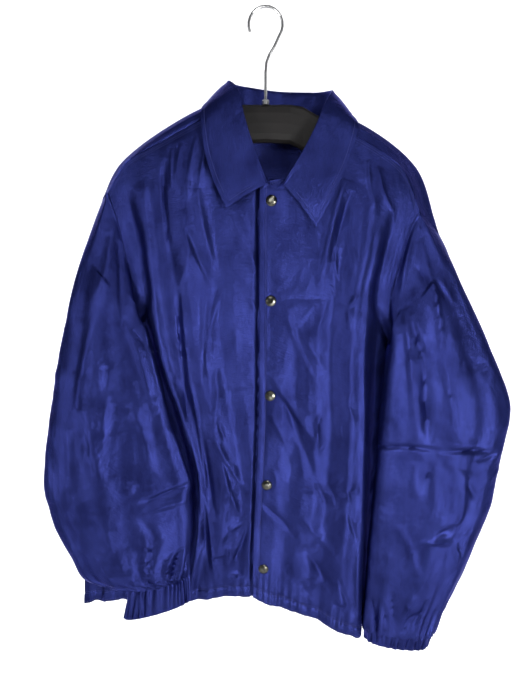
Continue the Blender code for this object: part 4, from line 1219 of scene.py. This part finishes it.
for node_name, finish in (("hanger_body", plastic_finish()), ("hanger_hook", steel_finish()),
                          ("hanger_ferrule", steel_finish())):
    bpy.data.objects[node_name].material_slots[0].material = finish
snap_metal = snap_finish()
for scene_object in list(bpy.data.objects):
    if scene_object.name.startswith("snap_"):
        scene_object.material_slots[0].material = snap_metal

# The cut of what shows: width and length in metres, and area in square metres.
FLAT_SIZES = [
    ("front_left", 0.33, 0.73, 0.175),
    ("front_right", 0.36, 0.74, 0.197),
    ("back", 0.64, 0.81, 0.386),
    ("sleeve_left", 0.54, 0.69, 0.2),
    ("sleeve_right", 0.48, 0.64, 0.175),
    ("cuff_left", 0.39, 0.035, 0.0115),
    ("cuff_right", 0.39, 0.05, 0.014),
    ("collar", 0.61, 0.11, 0.0457),
]
for name, width, length, area in FLAT_SIZES:
    [threads[name].name] if name in threads else []


def build_stage():
    """A pale sweep of paper: flat below, curving up behind the jacket."""
    bpy.ops.object.select_all(action="DESELECT")
    bpy.ops.mesh.primitive_plane_add(size=1.0)
    sweep = bpy.context.object
    sweep.name = "paper_sweep"
    bpy.ops.object.mode_set(mode="EDIT")
    bpy.ops.mesh.select_all(action="SELECT")
    bpy.ops.transform.resize(value=(PAPER_WIDTH, PAPER_BACK - PAPER_FRONT, 1.0))
    bpy.ops.transform.translate(value=(0.0, (PAPER_BACK + PAPER_FRONT) / 2, PAPER_LEVEL))
    bpy.ops.mesh.select_mode(type="EDGE")
    bpy.ops.mesh.select_all(action="DESELECT")
    bpy.ops.object.mode_set(mode="OBJECT")
    for edge in sweep.data.edges:
        edge.select = all(sweep.data.vertices[end].co.y > 0 for end in edge.vertices)
    bpy.ops.object.mode_set(mode="EDIT")
    length = PAPER_BEND * math.pi / 2 / PAPER_BEND_STEPS
    for step in range(PAPER_BEND_STEPS):
        turn = math.pi / 2 * (step + 0.5) / PAPER_BEND_STEPS
        bpy.ops.mesh.extrude_region_move(TRANSFORM_OT_translate={
            "value": (0.0, length * math.cos(turn), length * math.sin(turn))})
    bpy.ops.mesh.extrude_region_move(TRANSFORM_OT_translate={"value": (0.0, 0.0, PAPER_RISE)})
    bpy.ops.mesh.select_all(action="SELECT")
    bpy.ops.mesh.normals_make_consistent(inside=False)
    bpy.ops.object.mode_set(mode="OBJECT")
    bpy.ops.object.shade_smooth()
    sweep.data.materials.append(stage_finish())


def soft_light(name, place, aim, size, power):
    """A rectangular soft box, its size in metres and its power in watts."""
    lamp = bpy.data.lights.new(name, "AREA")
    lamp.shape = "RECTANGLE"
    lamp.size, lamp.size_y = size
    lamp.energy = power
    holder = bpy.data.objects.new(name, lamp)
    bpy.context.collection.objects.link(holder)
    holder.location = place
    holder.rotation_euler = (Vector(aim) - Vector(place)).to_track_quat("-Z", "Y").to_euler()


def build_lights():
    """Soft boxes in front of the jacket, and a dim pale room round it."""
    soft_light("key_box", (-1.1, -1.4, -0.45), (0.0, 0.0, -0.55), (0.4, 0.6), 9.6)
    soft_light("upper_box", (0.45, -1.3, 0.75), (0.0, 0.0, -0.3), (0.5, 0.4), 4.8)
    soft_light("low_box", (0.3, -1.7, -1.2), (0.0, 0.0, -0.6), (0.6, 0.3), 4.5)
    soft_light("side_box", (0.85, -1.5, -0.8), (0.34, 0.0, -0.6), (0.3, 0.6), 16.5)
    soft_light("neck_box", (0.0, -1.0, -0.1), (0.0, 0.0, -0.2), (0.3, 0.2), 0.9)
    world = bpy.data.worlds.new("pale_room")
    world.use_nodes = True
    room = world.node_tree.nodes["Background"]
    room.inputs["Color"].default_value = (0.9, 0.93, 1.0, 1.0)
    room.inputs["Strength"].default_value = 0.14
    bpy.context.scene.world = world
    bpy.context.scene.view_settings.view_transform = "Standard"


def build_camera():
    """The camera at the photo's angle."""
    lens = bpy.data.cameras.new("photo_camera")
    lens.sensor_fit = "VERTICAL"
    lens.sensor_height = SENSOR_HEIGHT
    lens.lens = FOCAL_PIXELS * SENSOR_HEIGHT / PHOTO_HEIGHT
    lens.clip_start = 0.05
    camera = bpy.data.objects.new("photo_camera", lens)
    bpy.context.collection.objects.link(camera)
    camera.location = (-0.004, -0.795, -0.3075)
    camera.rotation_euler = (math.radians(80), 0.0, 0.0)
    bpy.context.scene.camera = camera


build_stage()
build_lights()
build_camera()
